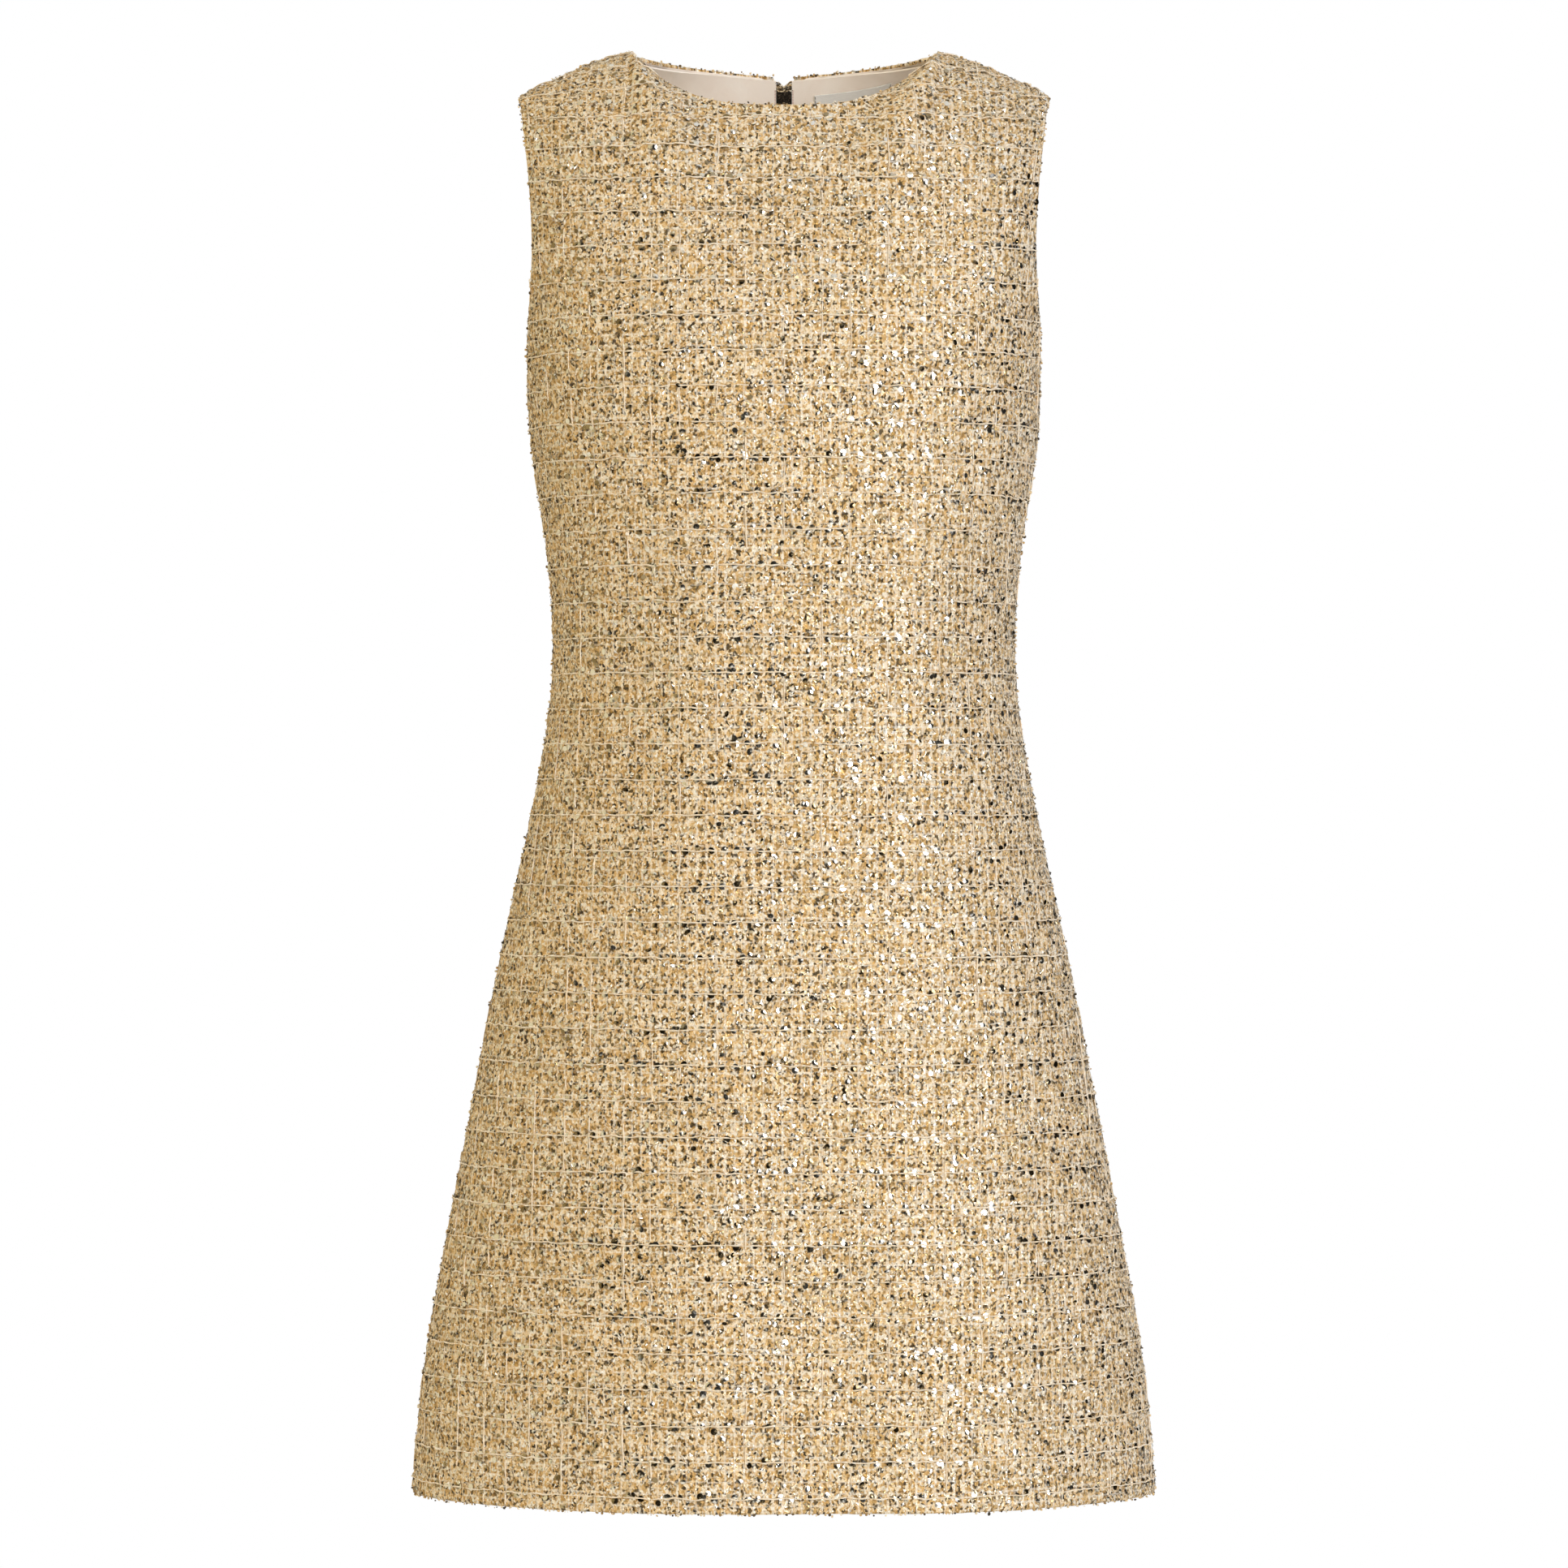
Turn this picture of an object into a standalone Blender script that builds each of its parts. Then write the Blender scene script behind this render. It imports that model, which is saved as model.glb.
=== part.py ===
"""A sleeveless round-neck shift dress, hollow, in the form it has when worn.

The dress faces -Y and hangs down -Z. Its origin is level with the neck ends of the shoulder
seams, midway between them, where the wearer's shoulders carry it. Each cloth piece is a wall
between an outer and an inner skin of the same rows and columns of points.
"""
import math
from collections import namedtuple

import bmesh
import bpy
import numpy as np
from mathutils import Matrix, Vector

# ---- driving sizes, metres ---------------------------------------------------------------
CLOTH = 0.0024            # tweed wall
LINING = 0.0010           # lining wall
LABEL = 0.0008            # folded woven label
TAPE = 0.0008             # zip tape
GAP = 0.0003              # between pieces that meet

UNDERARM = -0.178         # height of the armhole's lowest point
CHEST = -0.118            # height where the armhole's edge stands upright
ARM_FRONT = 0.050         # armhole's reach to the front of the side seam
ARM_BACK = 0.054          # and to the back of it

NECK_HALF = 0.093         # half the neck opening's width
NECK_FRONT = 0.066        # front neck edge, forward of the shoulder seam
NECK_BACK = 0.060         # back neck edge, behind the shoulder seam
FRONT_DROP = 0.038        # neck edge below the shoulder at the centre front
BACK_DROP = 0.009         # and at the centre back
SHOULDER_TIP = 0.1592     # from the middle to the outer end of the shoulder seam
SHOULDER_FALL = 0.026     # drop of the seam from the neck to its outer end
SHOULDER_CURVE = 1.25     # 1 is a straight seam
NECK_LEAN = 0.36          # how far the cloth lies back at the neck edge; 1 is level

ZIP_END = -0.520          # height of the zip's bottom stop
ZIP_CLOSE = 0.016         # length over which the seam closes below the zip
ZIP_OPEN = 0.0053         # half the gap between the back panels along the zip
NECK_SPREAD = 0.0022      # how much further the two back corners stand apart at the neck
STITCH_LINE = 0.0135      # zip tape's outer edge, from the centre back
LABEL_EDGE = 0.0195       # label's near edge, from the centre back

CHAIN_HALF = 0.0026       # half the chain's width
CHAIN_THICK = 0.0024
TAPE_INNER = 0.0029       # tape's inner edge, beside the chain
CHAIN_TOP = 0.0125        # chain's top end below the neck edge, inside the slider
SLIDER_TOP = 0.0070       # slider's top below the neck edge
SLIDER_LENGTH = 0.0110
SLIDER_TOP_HALF = 0.0045
SLIDER_END_HALF = 0.0035
SLIDER_CLEAR = 0.0012     # straight chain past the slider's foot
CHAIN_BEND = 0.0100       # chain's stretch that sets its direction at a bend
PLATE = 0.0011            # slider's plates
CROWN_OUTER = 0.0023      # arch that holds the tab
CROWN_INNER = 0.0012
CROWN_LIFT = 0.0010       # arch's middle above the slider's face
CROWN_WIDTH = 0.0016
CROWN_DOWN = 0.0045       # arch's middle below the slider's top
TAB_THICK = 0.0012
TAB_HALF = 0.0026
TAB_LENGTH = 0.0240
TAB_BAR = 0.0006          # tab's top bar, from the pin's middle to its edges
TAB_WINDOW = 0.0062       # length of the slot that clears the arch
TAB_WINDOW_HALF = 0.0013

FRONT_COLUMNS = 12        # from the centre front to the side seam
FRONT_NECK_COLUMNS = 7    # of those, the ones that end on the neck edge
BACK_COLUMNS = 11         # from the label's near edge to the side seam
BACK_NECK_COLUMNS = 7
ARM_ROWS = 4              # rows round the foot of the armhole
LINING_EDGE = 0.0025      # lining's edge below the tweed's at the neck
LABEL_TOP = 0.0110        # label's edges below the neck edge
LABEL_FOOT = 0.0290
YOKE_DROPS = (0.078, 0.053, LABEL_FOOT, LABEL_TOP, LINING_EDGE, 0.0)
LABEL_COLUMNS = (2, 5)    # the label's first and last column on the left lining

# Cross-sections of the body of the dress, from the hem up. squareness 2 is an ellipse.
Section = namedtuple("Section", "height half_width front back squareness")
SECTIONS = (
    Section(-0.867, 0.2240, 0.136, 0.134, 2.05),
    Section(-0.801, 0.2180, 0.131, 0.130, 2.06),
    Section(-0.742, 0.2085, 0.127, 0.126, 2.08),
    Section(-0.644, 0.1900, 0.120, 0.119, 2.10),
    Section(-0.546, 0.1710, 0.114, 0.111, 2.12),
    Section(-0.468, 0.1540, 0.111, 0.102, 2.15),
    Section(-0.409, 0.1430, 0.110, 0.093, 2.20),
    Section(-0.370, 0.1392, 0.110, 0.089, 2.25),
    Section(-0.331, 0.1400, 0.113, 0.089, 2.30),
    Section(-0.291, 0.1440, 0.118, 0.092, 2.40),
    Section(-0.233, 0.1525, 0.122, 0.098, 2.55),
    Section(-0.174, 0.1545, 0.114, 0.101, 2.80),
    Section(-0.118, 0.1570, 0.098, 0.098, 3.10),
    Section(-0.060, 0.1600, 0.078, 0.084, 3.30),
)

LENGTH = -SECTIONS[0].height

# Soft flutes of the skirt: where round the body, how far out, how wide, and where they start.
Flute = namedtuple("Flute", "azimuth_deg out width_deg start")
FLUTES = (
    Flute(40.0, 0.0050, 15.0, -0.42),
    Flute(12.0, -0.0030, 14.0, -0.52),
    Flute(-30.0, 0.0032, 19.0, -0.48),
    Flute(-66.0, -0.0028, 13.0, -0.45),
    Flute(68.0, -0.0030, 12.0, -0.50),
    Flute(122.0, 0.0036, 15.0, -0.45),
    Flute(158.0, -0.0026, 13.0, -0.55),
    Flute(-150.0, 0.0040, 17.0, -0.50),
    Flute(-112.0, 0.0030, 14.0, -0.58),
)

# The material of each piece: colour, roughness, metallic.
TWEED = ("tweed", (0.60, 0.45, 0.27), 0.80, 0.0)
SATIN = ("lining", (0.76, 0.64, 0.52), 0.55, 0.0)
WOVEN = ("label", (0.78, 0.77, 0.74), 0.60, 0.0)
BLACK_TAPE = ("zip_tape", (0.025, 0.022, 0.020), 0.85, 0.0)
DARK_METAL = ("zip_metal", (0.10, 0.09, 0.08), 0.35, 0.9)

FRONT = -1
BACK = 1
SIDE_ANGLE = math.pi / 2


# ---- the form ----------------------------------------------------------------------------
def smooth(x):
    """Ease from 0 to 1."""
    x = min(max(x, 0.0), 1.0)
    return x * x * (3 - 2 * x)


def section_at(height):
    """The cross-section at a height, on smooth curves through the table's rows."""
    heights = [section.height for section in SECTIONS]
    k = int(np.clip(np.searchsorted(heights, height) - 1, 0, len(SECTIONS) - 2))
    low, high = SECTIONS[k], SECTIONS[k + 1]
    below = SECTIONS[max(k - 1, 0)]
    above = SECTIONS[min(k + 2, len(SECTIONS) - 1)]
    step = high.height - low.height
    t = (height - low.height) / step
    values = []
    for name in Section._fields[1:]:
        a, b = getattr(low, name), getattr(high, name)
        slope_a = (b - getattr(below, name)) / (high.height - below.height) * step
        slope_b = (getattr(above, name) - a) / (above.height - low.height) * step
        values.append((2 * t**3 - 3 * t**2 + 1) * a + (t**3 - 2 * t**2 + t) * slope_a
                      + (3 * t**2 - 2 * t**3) * b + (t**3 - t**2) * slope_b)
    return Section(height, *values)


def flute(azimuth, height):
    """How far the skirt's flutes push the cloth out at an azimuth (0 is the centre front)."""
    out = 0.0
    for row in FLUTES:
        away = (math.degrees(azimuth) - row.azimuth_deg + 180) % 360 - 180
        fade = smooth((row.start - height) / (row.start + LENGTH))
        out += row.out * fade * math.exp(-(away / row.width_deg) ** 2)
    return out


def body_point(side, angle, height):
    """A point of the body; angle runs from the centre of that side to the side seam."""
    section = section_at(height)
    depth = section.front if side == FRONT else section.back
    p = section.squareness
    across = abs(math.sin(angle)) / section.half_width
    along = abs(math.cos(angle)) / depth
    radius = (across**p + along**p) ** (-1 / p)
    azimuth = angle if side == FRONT else math.copysign(math.pi, angle) - angle
    radius += flute(azimuth, height)
    return Vector((radius * math.sin(angle), side * radius * math.cos(angle), height))


def ring(side, hand, height, stations, end_angle=SIDE_ANGLE, end_height=None):
    """Points along a row at their stations: a distance, or a share of the row past the last
    distance. The row may dip or rise to end_height at its outer end."""
    end_height = height if end_height is None else end_height
    steps = np.linspace(0, 1, 49)
    dense = [body_point(side, hand * t * end_angle, height + (end_height - height) * t**3)
             for t in steps]
    runs = [0.0]
    for a, b in zip(dense, dense[1:]):
        runs.append(runs[-1] + (b - a).length)
    fixed = max([s.distance for s in stations if s.share is None], default=0.0)
    points = []
    for station in stations:
        run = station.distance
        if station.share is not None:
            run = fixed + (runs[-1] - fixed) * station.share
        t = float(np.interp(run, runs, steps))
        points.append(body_point(side, hand * t * end_angle,
                                 height + (end_height - height) * t**3))
    return points


def arm_row(side, hand, t, stations):
    """A row that ends on the foot of the armhole; t runs from the underarm to the chest line."""
    reach = (ARM_FRONT if side == FRONT else ARM_BACK) * math.sin(t * math.pi / 2)
    end_height = UNDERARM + (CHEST - UNDERARM) * (1 - math.cos(t * math.pi / 2))
    low, high = 0.5, SIDE_ANGLE
    for _ in range(40):
        middle = (low + high) / 2
        if abs(body_point(side, hand * middle, end_height).y) > reach:
            low = middle
        else:
            high = middle
    return ring(side, hand, UNDERARM + (CHEST - UNDERARM) * t, stations, high, end_height)


def top_edge(side, hand, stations):
    """The row along the neck edge and then the shoulder seam."""
    points = []
    for station in stations:
        x = NECK_HALF * math.sin(station.turn)
        depth = NECK_FRONT if side == FRONT else NECK_BACK
        y = depth * math.cos(station.turn)
        if side == FRONT:
            z = -FRONT_DROP * (1 - math.sin(station.turn) ** 3)
        else:
            z = -BACK_DROP * (1 - math.sin(station.turn) ** 1.2)
        if station.seam:
            x = NECK_HALF + (SHOULDER_TIP - NECK_HALF) * station.seam
            y = 0.0
            z = -SHOULDER_FALL * station.seam**SHOULDER_CURVE
        points.append(Vector((hand * x, side * y, z)))
    return points


def yoke_rows(side, hand, chest, stations, drops):
    """Rows from the chest line up to the neck edge and shoulder seam, each column an arc that
    leaves the chest as the body does and lies flat over the shoulder."""
    top = top_edge(side, hand, stations)
    rows = []
    for drop in drops:
        row = []
        for start, end, station in zip(chest, top, stations):
            span = (end - start).length
            angle = math.atan2(start.x, side * start.y)
            lower = body_point(side, angle, start.z - CLOTH)
            leave = (body_point(side, angle, start.z) - lower).normalized() * span
            lean = NECK_LEAN + (1 - NECK_LEAN) * smooth(math.sin(station.turn) ** 2)
            arrive = Vector((0, -side * lean, 1.0 - lean)).normalized() * span * 1.15
            t = max(0.0, 1 - drop / (span * 1.03))
            row.append((2 * t**3 - 3 * t**2 + 1) * start + (t**3 - 2 * t**2 + t) * leave
                       + (3 * t**2 - 2 * t**3) * end + (t**3 - t**2) * arrive)
        rows.append(row)
    return rows


# A column's place: a distance from the centre or a share of the rest of the row, its turn
# round the neck edge, and how far along the shoulder seam it ends.
Station = namedtuple("Station", "distance share turn seam")


def spread(count, neck_count, first=0.0):
    """Even columns past a first distance, out to the side seam."""
    start = math.asin(min(first / NECK_HALF, 1.0))
    stations = []
    for k in range(1, count + 1):
        turn = start + (math.pi / 2 - start) * min(k / neck_count, 1.0)
        seam = max(0.0, (k - neck_count) / (count - neck_count))
        stations.append(Station(0.0, k / count, turn, seam))
    return stations


def front_heights():
    return [SECTIONS[0].height + (UNDERARM - SECTIONS[0].height) * k / 15 for k in range(16)]


def back_heights():
    """Rows of the skirt and waist, with two of them at the zip's end."""
    low = SECTIONS[0].height
    lower = [low + (ZIP_END - ZIP_CLOSE - low) * k / 7 for k in range(8)]
    upper = [ZIP_END + (UNDERARM - ZIP_END) * k / 8 for k in range(9)]
    return lower + upper


def half_panel(side, hand, heights, stations_at):
    """All rows of one half, from the hem to the top edge. stations_at gives a row's columns."""
    rows = [ring(side, hand, height, stations_at(height)) for height in heights]
    for k in range(1, ARM_ROWS + 1):
        rows.append(arm_row(side, hand, k / ARM_ROWS, stations_at(CHEST)))
    rows += yoke_rows(side, hand, rows[-1], stations_at(0.0), YOKE_DROPS)
    return rows


def zip_gap(height):
    """Half the gap between the back panels at a height."""
    closed = GAP / 2
    shut = smooth((ZIP_END - height) / ZIP_CLOSE)
    flare = NECK_SPREAD if height == 0.0 else 0.0
    return ZIP_OPEN + flare + (closed - ZIP_OPEN) * shut


def back_stations(height):
    first = zip_gap(height)
    fixed = [Station(distance, None, math.asin(distance / NECK_HALF), 0.0)
             for distance in (first, STITCH_LINE, LABEL_EDGE)]
    return fixed + spread(BACK_COLUMNS, BACK_NECK_COLUMNS, LABEL_EDGE)


def tape_stations(height):
    return [Station(TAPE_INNER, None, math.asin(TAPE_INNER / NECK_HALF), 0.0)] + \
        back_stations(ZIP_END)[:2]


# ---- walls -------------------------------------------------------------------------------
def normals(rows):
    """Outward directions, square to the seam at each seam so that the walls meet there."""
    result = []
    for j, row in enumerate(rows):
        line = []
        for i in range(len(row)):
            across = row[min(i + 1, len(row) - 1)] - row[max(i - 1, 0)]
            up = rows[min(j + 1, len(rows) - 1)][i] - rows[max(j - 1, 0)][i]
            n = across.cross(up)
            if n.dot(Vector((row[i].x, row[i].y, 0.04))) < 0:
                n.negate()
            if abs(row[i].y) < 1e-6:
                n.y = 0.0
            if abs(row[i].x) < 1e-6:
                n.x = 0.0
            line.append(n.normalized())
        result.append(line)
    return result


def moved(rows, directions, distance, shift=0.0):
    """The rows moved along their normals, then sideways along Y clear of the seam."""
    return [[p + n * distance + Vector((0, shift, 0)) for p, n in zip(row, line)]
            for row, line in zip(rows, directions)]


def wall(name, outer, inner, material):
    """One closed solid between two skins of matching rows."""
    mesh = bpy.data.meshes.new(name)
    bm = bmesh.new()
    skins = [[[bm.verts.new(p) for p in row] for row in skin] for skin in (outer, inner)]
    last, edge = len(outer) - 1, len(outer[0]) - 1
    for j in range(last):
        for i in range(edge):
            for skin in skins:
                bm.faces.new((skin[j][i], skin[j][i + 1], skin[j + 1][i + 1], skin[j + 1][i]))
    out, into = skins
    rim = [(0, i) for i in range(edge)] + [(j, edge) for j in range(last)]
    rim += [(last, i) for i in range(edge, 0, -1)] + [(j, 0) for j in range(last, 0, -1)]
    for (ja, ia), (jb, ib) in zip(rim, rim[1:] + rim[:1]):
        bm.faces.new((out[ja][ia], out[jb][ib], into[jb][ib], into[ja][ia]))
    bmesh.ops.recalc_face_normals(bm, faces=bm.faces)
    bmesh.ops.triangulate(bm, faces=bm.faces)
    bm.to_mesh(mesh)
    bm.free()
    mesh.shade_smooth()
    mesh.set_sharp_from_angle(angle=math.radians(40))
    return finish(bpy.data.objects.new(name, mesh), material)


def finish(thing, material):
    """Link an object and give it its material."""
    name, colour, roughness, metallic = material
    look = bpy.data.materials.get(name) or bpy.data.materials.new(name)
    look.use_nodes = True
    shader = look.node_tree.nodes["Principled BSDF"]
    shader.inputs["Base Color"].default_value = (*colour, 1.0)
    shader.inputs["Roughness"].default_value = roughness
    shader.inputs["Metallic"].default_value = metallic
    thing.data.materials.clear()
    thing.data.materials.append(look)
    bpy.context.scene.collection.objects.link(thing)
    return thing


def front_panel():
    stations = [Station(0.0, None, 0.0, 0.0)] + spread(FRONT_COLUMNS, FRONT_NECK_COLUMNS)
    right = half_panel(FRONT, -1, front_heights(), lambda height: stations)
    left = half_panel(FRONT, 1, front_heights(), lambda height: stations)
    rows = [a[:0:-1] + b for a, b in zip(right, left)]
    out = normals(rows)
    wall("front_panel", moved(rows, out, 0.0, -GAP / 2), moved(rows, out, -CLOTH, -GAP / 2),
         TWEED)


def back_panel(word, hand):
    """A back panel, and the lining that lies inside its yoke."""
    rows = half_panel(BACK, hand, back_heights(), back_stations)
    out = normals(rows)
    wall("back_panel_" + word, moved(rows, out, 0.0, GAP / 2),
         moved(rows, out, -CLOTH, GAP / 2), TWEED)
    first = len(rows) - 1 - len(YOKE_DROPS)
    yoke, yoke_out = rows[first:-1], out[first:-1]
    lie = CLOTH + 2 * GAP + TAPE
    wall("lining_back_" + word, moved(yoke, yoke_out, -lie, GAP / 2),
         moved(yoke, yoke_out, -lie - LINING, GAP / 2), SATIN)
    return yoke, yoke_out


def label(yoke, yoke_out):
    """The blank label on the wearer's left lining."""
    foot = 1 + YOKE_DROPS.index(LABEL_FOOT)
    first, last = LABEL_COLUMNS
    rows = [row[first:last + 1] for row in yoke[foot:foot + 2]]
    out = [line[first:last + 1] for line in yoke_out[foot:foot + 2]]
    lie = CLOTH + 3 * GAP + TAPE + LINING
    wall("label", moved(rows, out, -lie, GAP / 2), moved(rows, out, -lie - LABEL, GAP / 2),
         WOVEN)


def zip_tape(word, hand):
    """A tape behind the back panel's edge, from the zip's end to just under the neck edge."""
    rows = half_panel(BACK, hand, back_heights(), tape_stations)
    out = normals(rows)
    first = back_heights().index(ZIP_END)
    rows, out = rows[first:-1], out[first:-1]
    lie = CLOTH + GAP
    wall("zip_tape_" + word, moved(rows, out, -lie, GAP / 2),
         moved(rows, out, -lie - TAPE, GAP / 2), BLACK_TAPE)


# ---- the zip's hard pieces ---------------------------------------------------------------
def centre_back():
    """The centre-back line from the neck edge down to the zip's end, in the tape's plane."""
    stations = [Station(0.0, None, 0.0, 0.0)]
    rows = half_panel(BACK, 1, back_heights(), lambda height: stations)
    first = back_heights().index(ZIP_END)
    return [row[0] for row in rows[first:]][::-1]


def along(line, distance):
    """The point at a distance down a line of points."""
    for a, b in zip(line, line[1:]):
        step = (b - a).length
        if distance <= step or b == line[-1]:
            return a + (b - a) * (distance / step)
        distance -= step


class Frame:
    """Axes of a straight stretch of the zip: across it, out of the back and down it."""

    def __init__(self, line, top, foot):
        start = along(line, top)
        self.down = (along(line, foot) - start).normalized()
        self.out = Vector((0, -self.down.z, self.down.y))
        self.middle = start + Vector((0, GAP / 2, 0))

    def at(self, across, out, down):
        return self.middle + Vector((across, 0, 0)) + self.out * out + self.down * down


def prism(frame, outline, half_start, half_end, span):
    """A solid whose outline (out, down) is widened across; its half width runs from
    half_start to half_end over a span down from the frame's middle."""
    bm = bmesh.new()
    sides = []
    for hand in (-1, 1):
        sides.append([])
        for out, down in outline:
            half = half_start + (half_end - half_start) * down / span
            sides[-1].append(bm.verts.new(frame.at(hand * half, out, down)))
    bm.faces.new(sides[0])
    bm.faces.new(sides[1][::-1])
    count = len(outline)
    for k in range(count):
        n = (k + 1) % count
        bm.faces.new((sides[0][k], sides[1][k], sides[1][n], sides[0][n]))
    bmesh.ops.recalc_face_normals(bm, faces=bm.faces)
    mesh = bpy.data.meshes.new("prism")
    bm.to_mesh(mesh)
    bm.free()
    return bpy.data.objects.new("prism", mesh)


def combine(thing, other, operation):
    """Join or cut with another shape, which stays as a hidden guide."""
    if other.name not in bpy.context.scene.collection.objects:
        bpy.context.scene.collection.objects.link(other)
    other.hide_render = True
    other.display_type = "WIRE"
    cut = thing.modifiers.new(operation.lower(), "BOOLEAN")
    cut.operation = operation
    cut.solver = "EXACT"
    cut.object = other


def box_outline(out_low, out_high, top, foot):
    return [(out_low, top), (out_high, top), (out_high, foot), (out_low, foot)]


MIDDLE = -(CLOTH + GAP + TAPE / 2)        # the chain's middle, inside the panel's face
PLATE_IN = CHAIN_THICK / 2 + GAP          # from the chain's middle to a plate's inner face


def zip_chain(line):
    """The closed chain as a plain strip; its top end is straight, between the slider's plates."""
    head = slider_frame(line)
    stops = [(head, CHAIN_TOP - SLIDER_TOP), (head, SLIDER_LENGTH + SLIDER_CLEAR)]
    run = 0.0
    for a, b in zip(line, line[1:]):
        run += (b - a).length
        if run > SLIDER_TOP + SLIDER_LENGTH + 4 * SLIDER_CLEAR:
            reach = min((b - a).length / 2, CHAIN_BEND)
            stops.append((Frame(line, run, run + reach), 0.0))
    last = Frame(line, run - CHAIN_BEND, run)
    stops[-1] = (last, CHAIN_BEND)
    skins = [[], []]
    for frame, down in stops:
        for skin, out in zip(skins, (CHAIN_THICK / 2, -CHAIN_THICK / 2)):
            skin.append([frame.at(x, MIDDLE + out, down) for x in (-CHAIN_HALF, CHAIN_HALF)])
    wall("zip_chain", *skins, DARK_METAL)


def slider_frame(line):
    return Frame(line, SLIDER_TOP, SLIDER_TOP + SLIDER_LENGTH)


def zip_slider(line):
    """Two plates joined by a post above the chain, with an arch that holds the tab."""
    frame = slider_frame(line)
    foot = SLIDER_LENGTH
    outer = prism(frame, box_outline(MIDDLE + PLATE_IN, MIDDLE + PLATE_IN + PLATE, 0, foot),
                  SLIDER_TOP_HALF, SLIDER_END_HALF, foot)
    inner = prism(frame, box_outline(MIDDLE - PLATE_IN - PLATE, MIDDLE - PLATE_IN, 0, foot),
                  SLIDER_TOP_HALF, SLIDER_END_HALF, foot)
    reach = PLATE_IN + PLATE / 2
    post = prism(frame, box_outline(MIDDLE - reach, MIDDLE + reach, 0.0004, 0.0034),
                 0.0018, 0.0010, foot)
    face = MIDDLE + PLATE_IN + PLATE
    turns = [math.pi * k / 12 for k in range(13)]
    arch = [(face - PLATE / 2, CROWN_DOWN - CROWN_OUTER)]
    arch += [(face + CROWN_LIFT + CROWN_OUTER * math.sin(a),
              CROWN_DOWN - CROWN_OUTER * math.cos(a)) for a in turns]
    arch += [(face - PLATE / 2, CROWN_DOWN + CROWN_OUTER)]
    arch += [(face - PLATE / 2, CROWN_DOWN + CROWN_INNER)]
    arch += [(face + CROWN_LIFT + CROWN_INNER * math.sin(a),
              CROWN_DOWN + CROWN_INNER * math.cos(a)) for a in turns]
    arch += [(face - PLATE / 2, CROWN_DOWN - CROWN_INNER)]
    crown = prism(frame, arch, CROWN_WIDTH / 2, CROWN_WIDTH / 2, foot)
    outer.name = "zip_slider"
    combine(outer, post, "UNION")
    combine(outer, inner, "UNION")
    combine(outer, crown, "UNION")
    finish(outer, DARK_METAL)
    return frame, face + CROWN_LIFT


def zip_pull(frame, pin_out):
    """The tab, hanging from its bar under the slider's arch; its origin is the bar's middle."""
    low, high = pin_out - TAB_THICK / 2, pin_out + TAB_THICK / 2
    pin = frame.at(0, pin_out, CROWN_DOWN)
    start, end = CROWN_DOWN - TAB_BAR, CROWN_DOWN + TAB_LENGTH
    tab = prism(frame, box_outline(low, high, start, end), TAB_HALF * 0.80, TAB_HALF, TAB_LENGTH)
    slot = prism(frame, box_outline(low - CLOTH, high + CLOTH, CROWN_DOWN + TAB_BAR,
                                    CROWN_DOWN + TAB_BAR + TAB_WINDOW),
                 TAB_WINDOW_HALF, TAB_WINDOW_HALF, TAB_LENGTH)
    tab.name = "zip_pull"
    for mesh_object in (tab, slot):
        mesh_object.data.transform(Matrix.Translation(-pin))
        mesh_object.location = pin
    combine(tab, slot, "DIFFERENCE")
    finish(tab, DARK_METAL)


def build():
    for thing in list(bpy.data.objects):
        bpy.data.objects.remove(thing, do_unlink=True)
    front_panel()
    for word, hand in (("left", 1), ("right", -1)):
        yoke, yoke_out = back_panel(word, hand)
        zip_tape(word, hand)
        if word == "left":
            label(yoke, yoke_out)
    line = centre_back()
    zip_chain(line)
    frame, pin_out = zip_slider(line)
    zip_pull(frame, pin_out)


build()
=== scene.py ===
"""The looks of a sleeveless tweed shift dress: its yarns, sequins, lining, label and zip.

The form is that of the solids: the same cross-sections, flutes and yoke arcs, on a lattice
whose columns and rows lie along the yarns of the cloth. Lengths are metres. u runs round the
cloth from the centre line of a panel, and v runs up it; v is the height up to the chest line
and the length along the cloth above it.
"""

import math
from collections import namedtuple
from itertools import cycle

import bmesh
import bpy
import numpy as np
from mathutils import Matrix, Vector


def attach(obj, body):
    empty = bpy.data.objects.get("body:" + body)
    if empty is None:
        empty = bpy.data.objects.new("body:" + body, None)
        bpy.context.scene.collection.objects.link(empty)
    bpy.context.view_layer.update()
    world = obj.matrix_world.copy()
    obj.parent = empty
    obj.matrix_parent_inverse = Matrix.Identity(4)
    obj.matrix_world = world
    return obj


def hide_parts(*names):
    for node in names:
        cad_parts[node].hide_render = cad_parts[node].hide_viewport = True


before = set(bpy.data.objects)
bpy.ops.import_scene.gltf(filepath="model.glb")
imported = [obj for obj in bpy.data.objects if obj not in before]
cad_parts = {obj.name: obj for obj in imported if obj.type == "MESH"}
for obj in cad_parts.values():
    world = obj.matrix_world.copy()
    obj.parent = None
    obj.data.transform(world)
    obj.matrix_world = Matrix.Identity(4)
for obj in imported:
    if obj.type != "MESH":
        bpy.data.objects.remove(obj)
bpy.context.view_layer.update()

MM = 0.001

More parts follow.
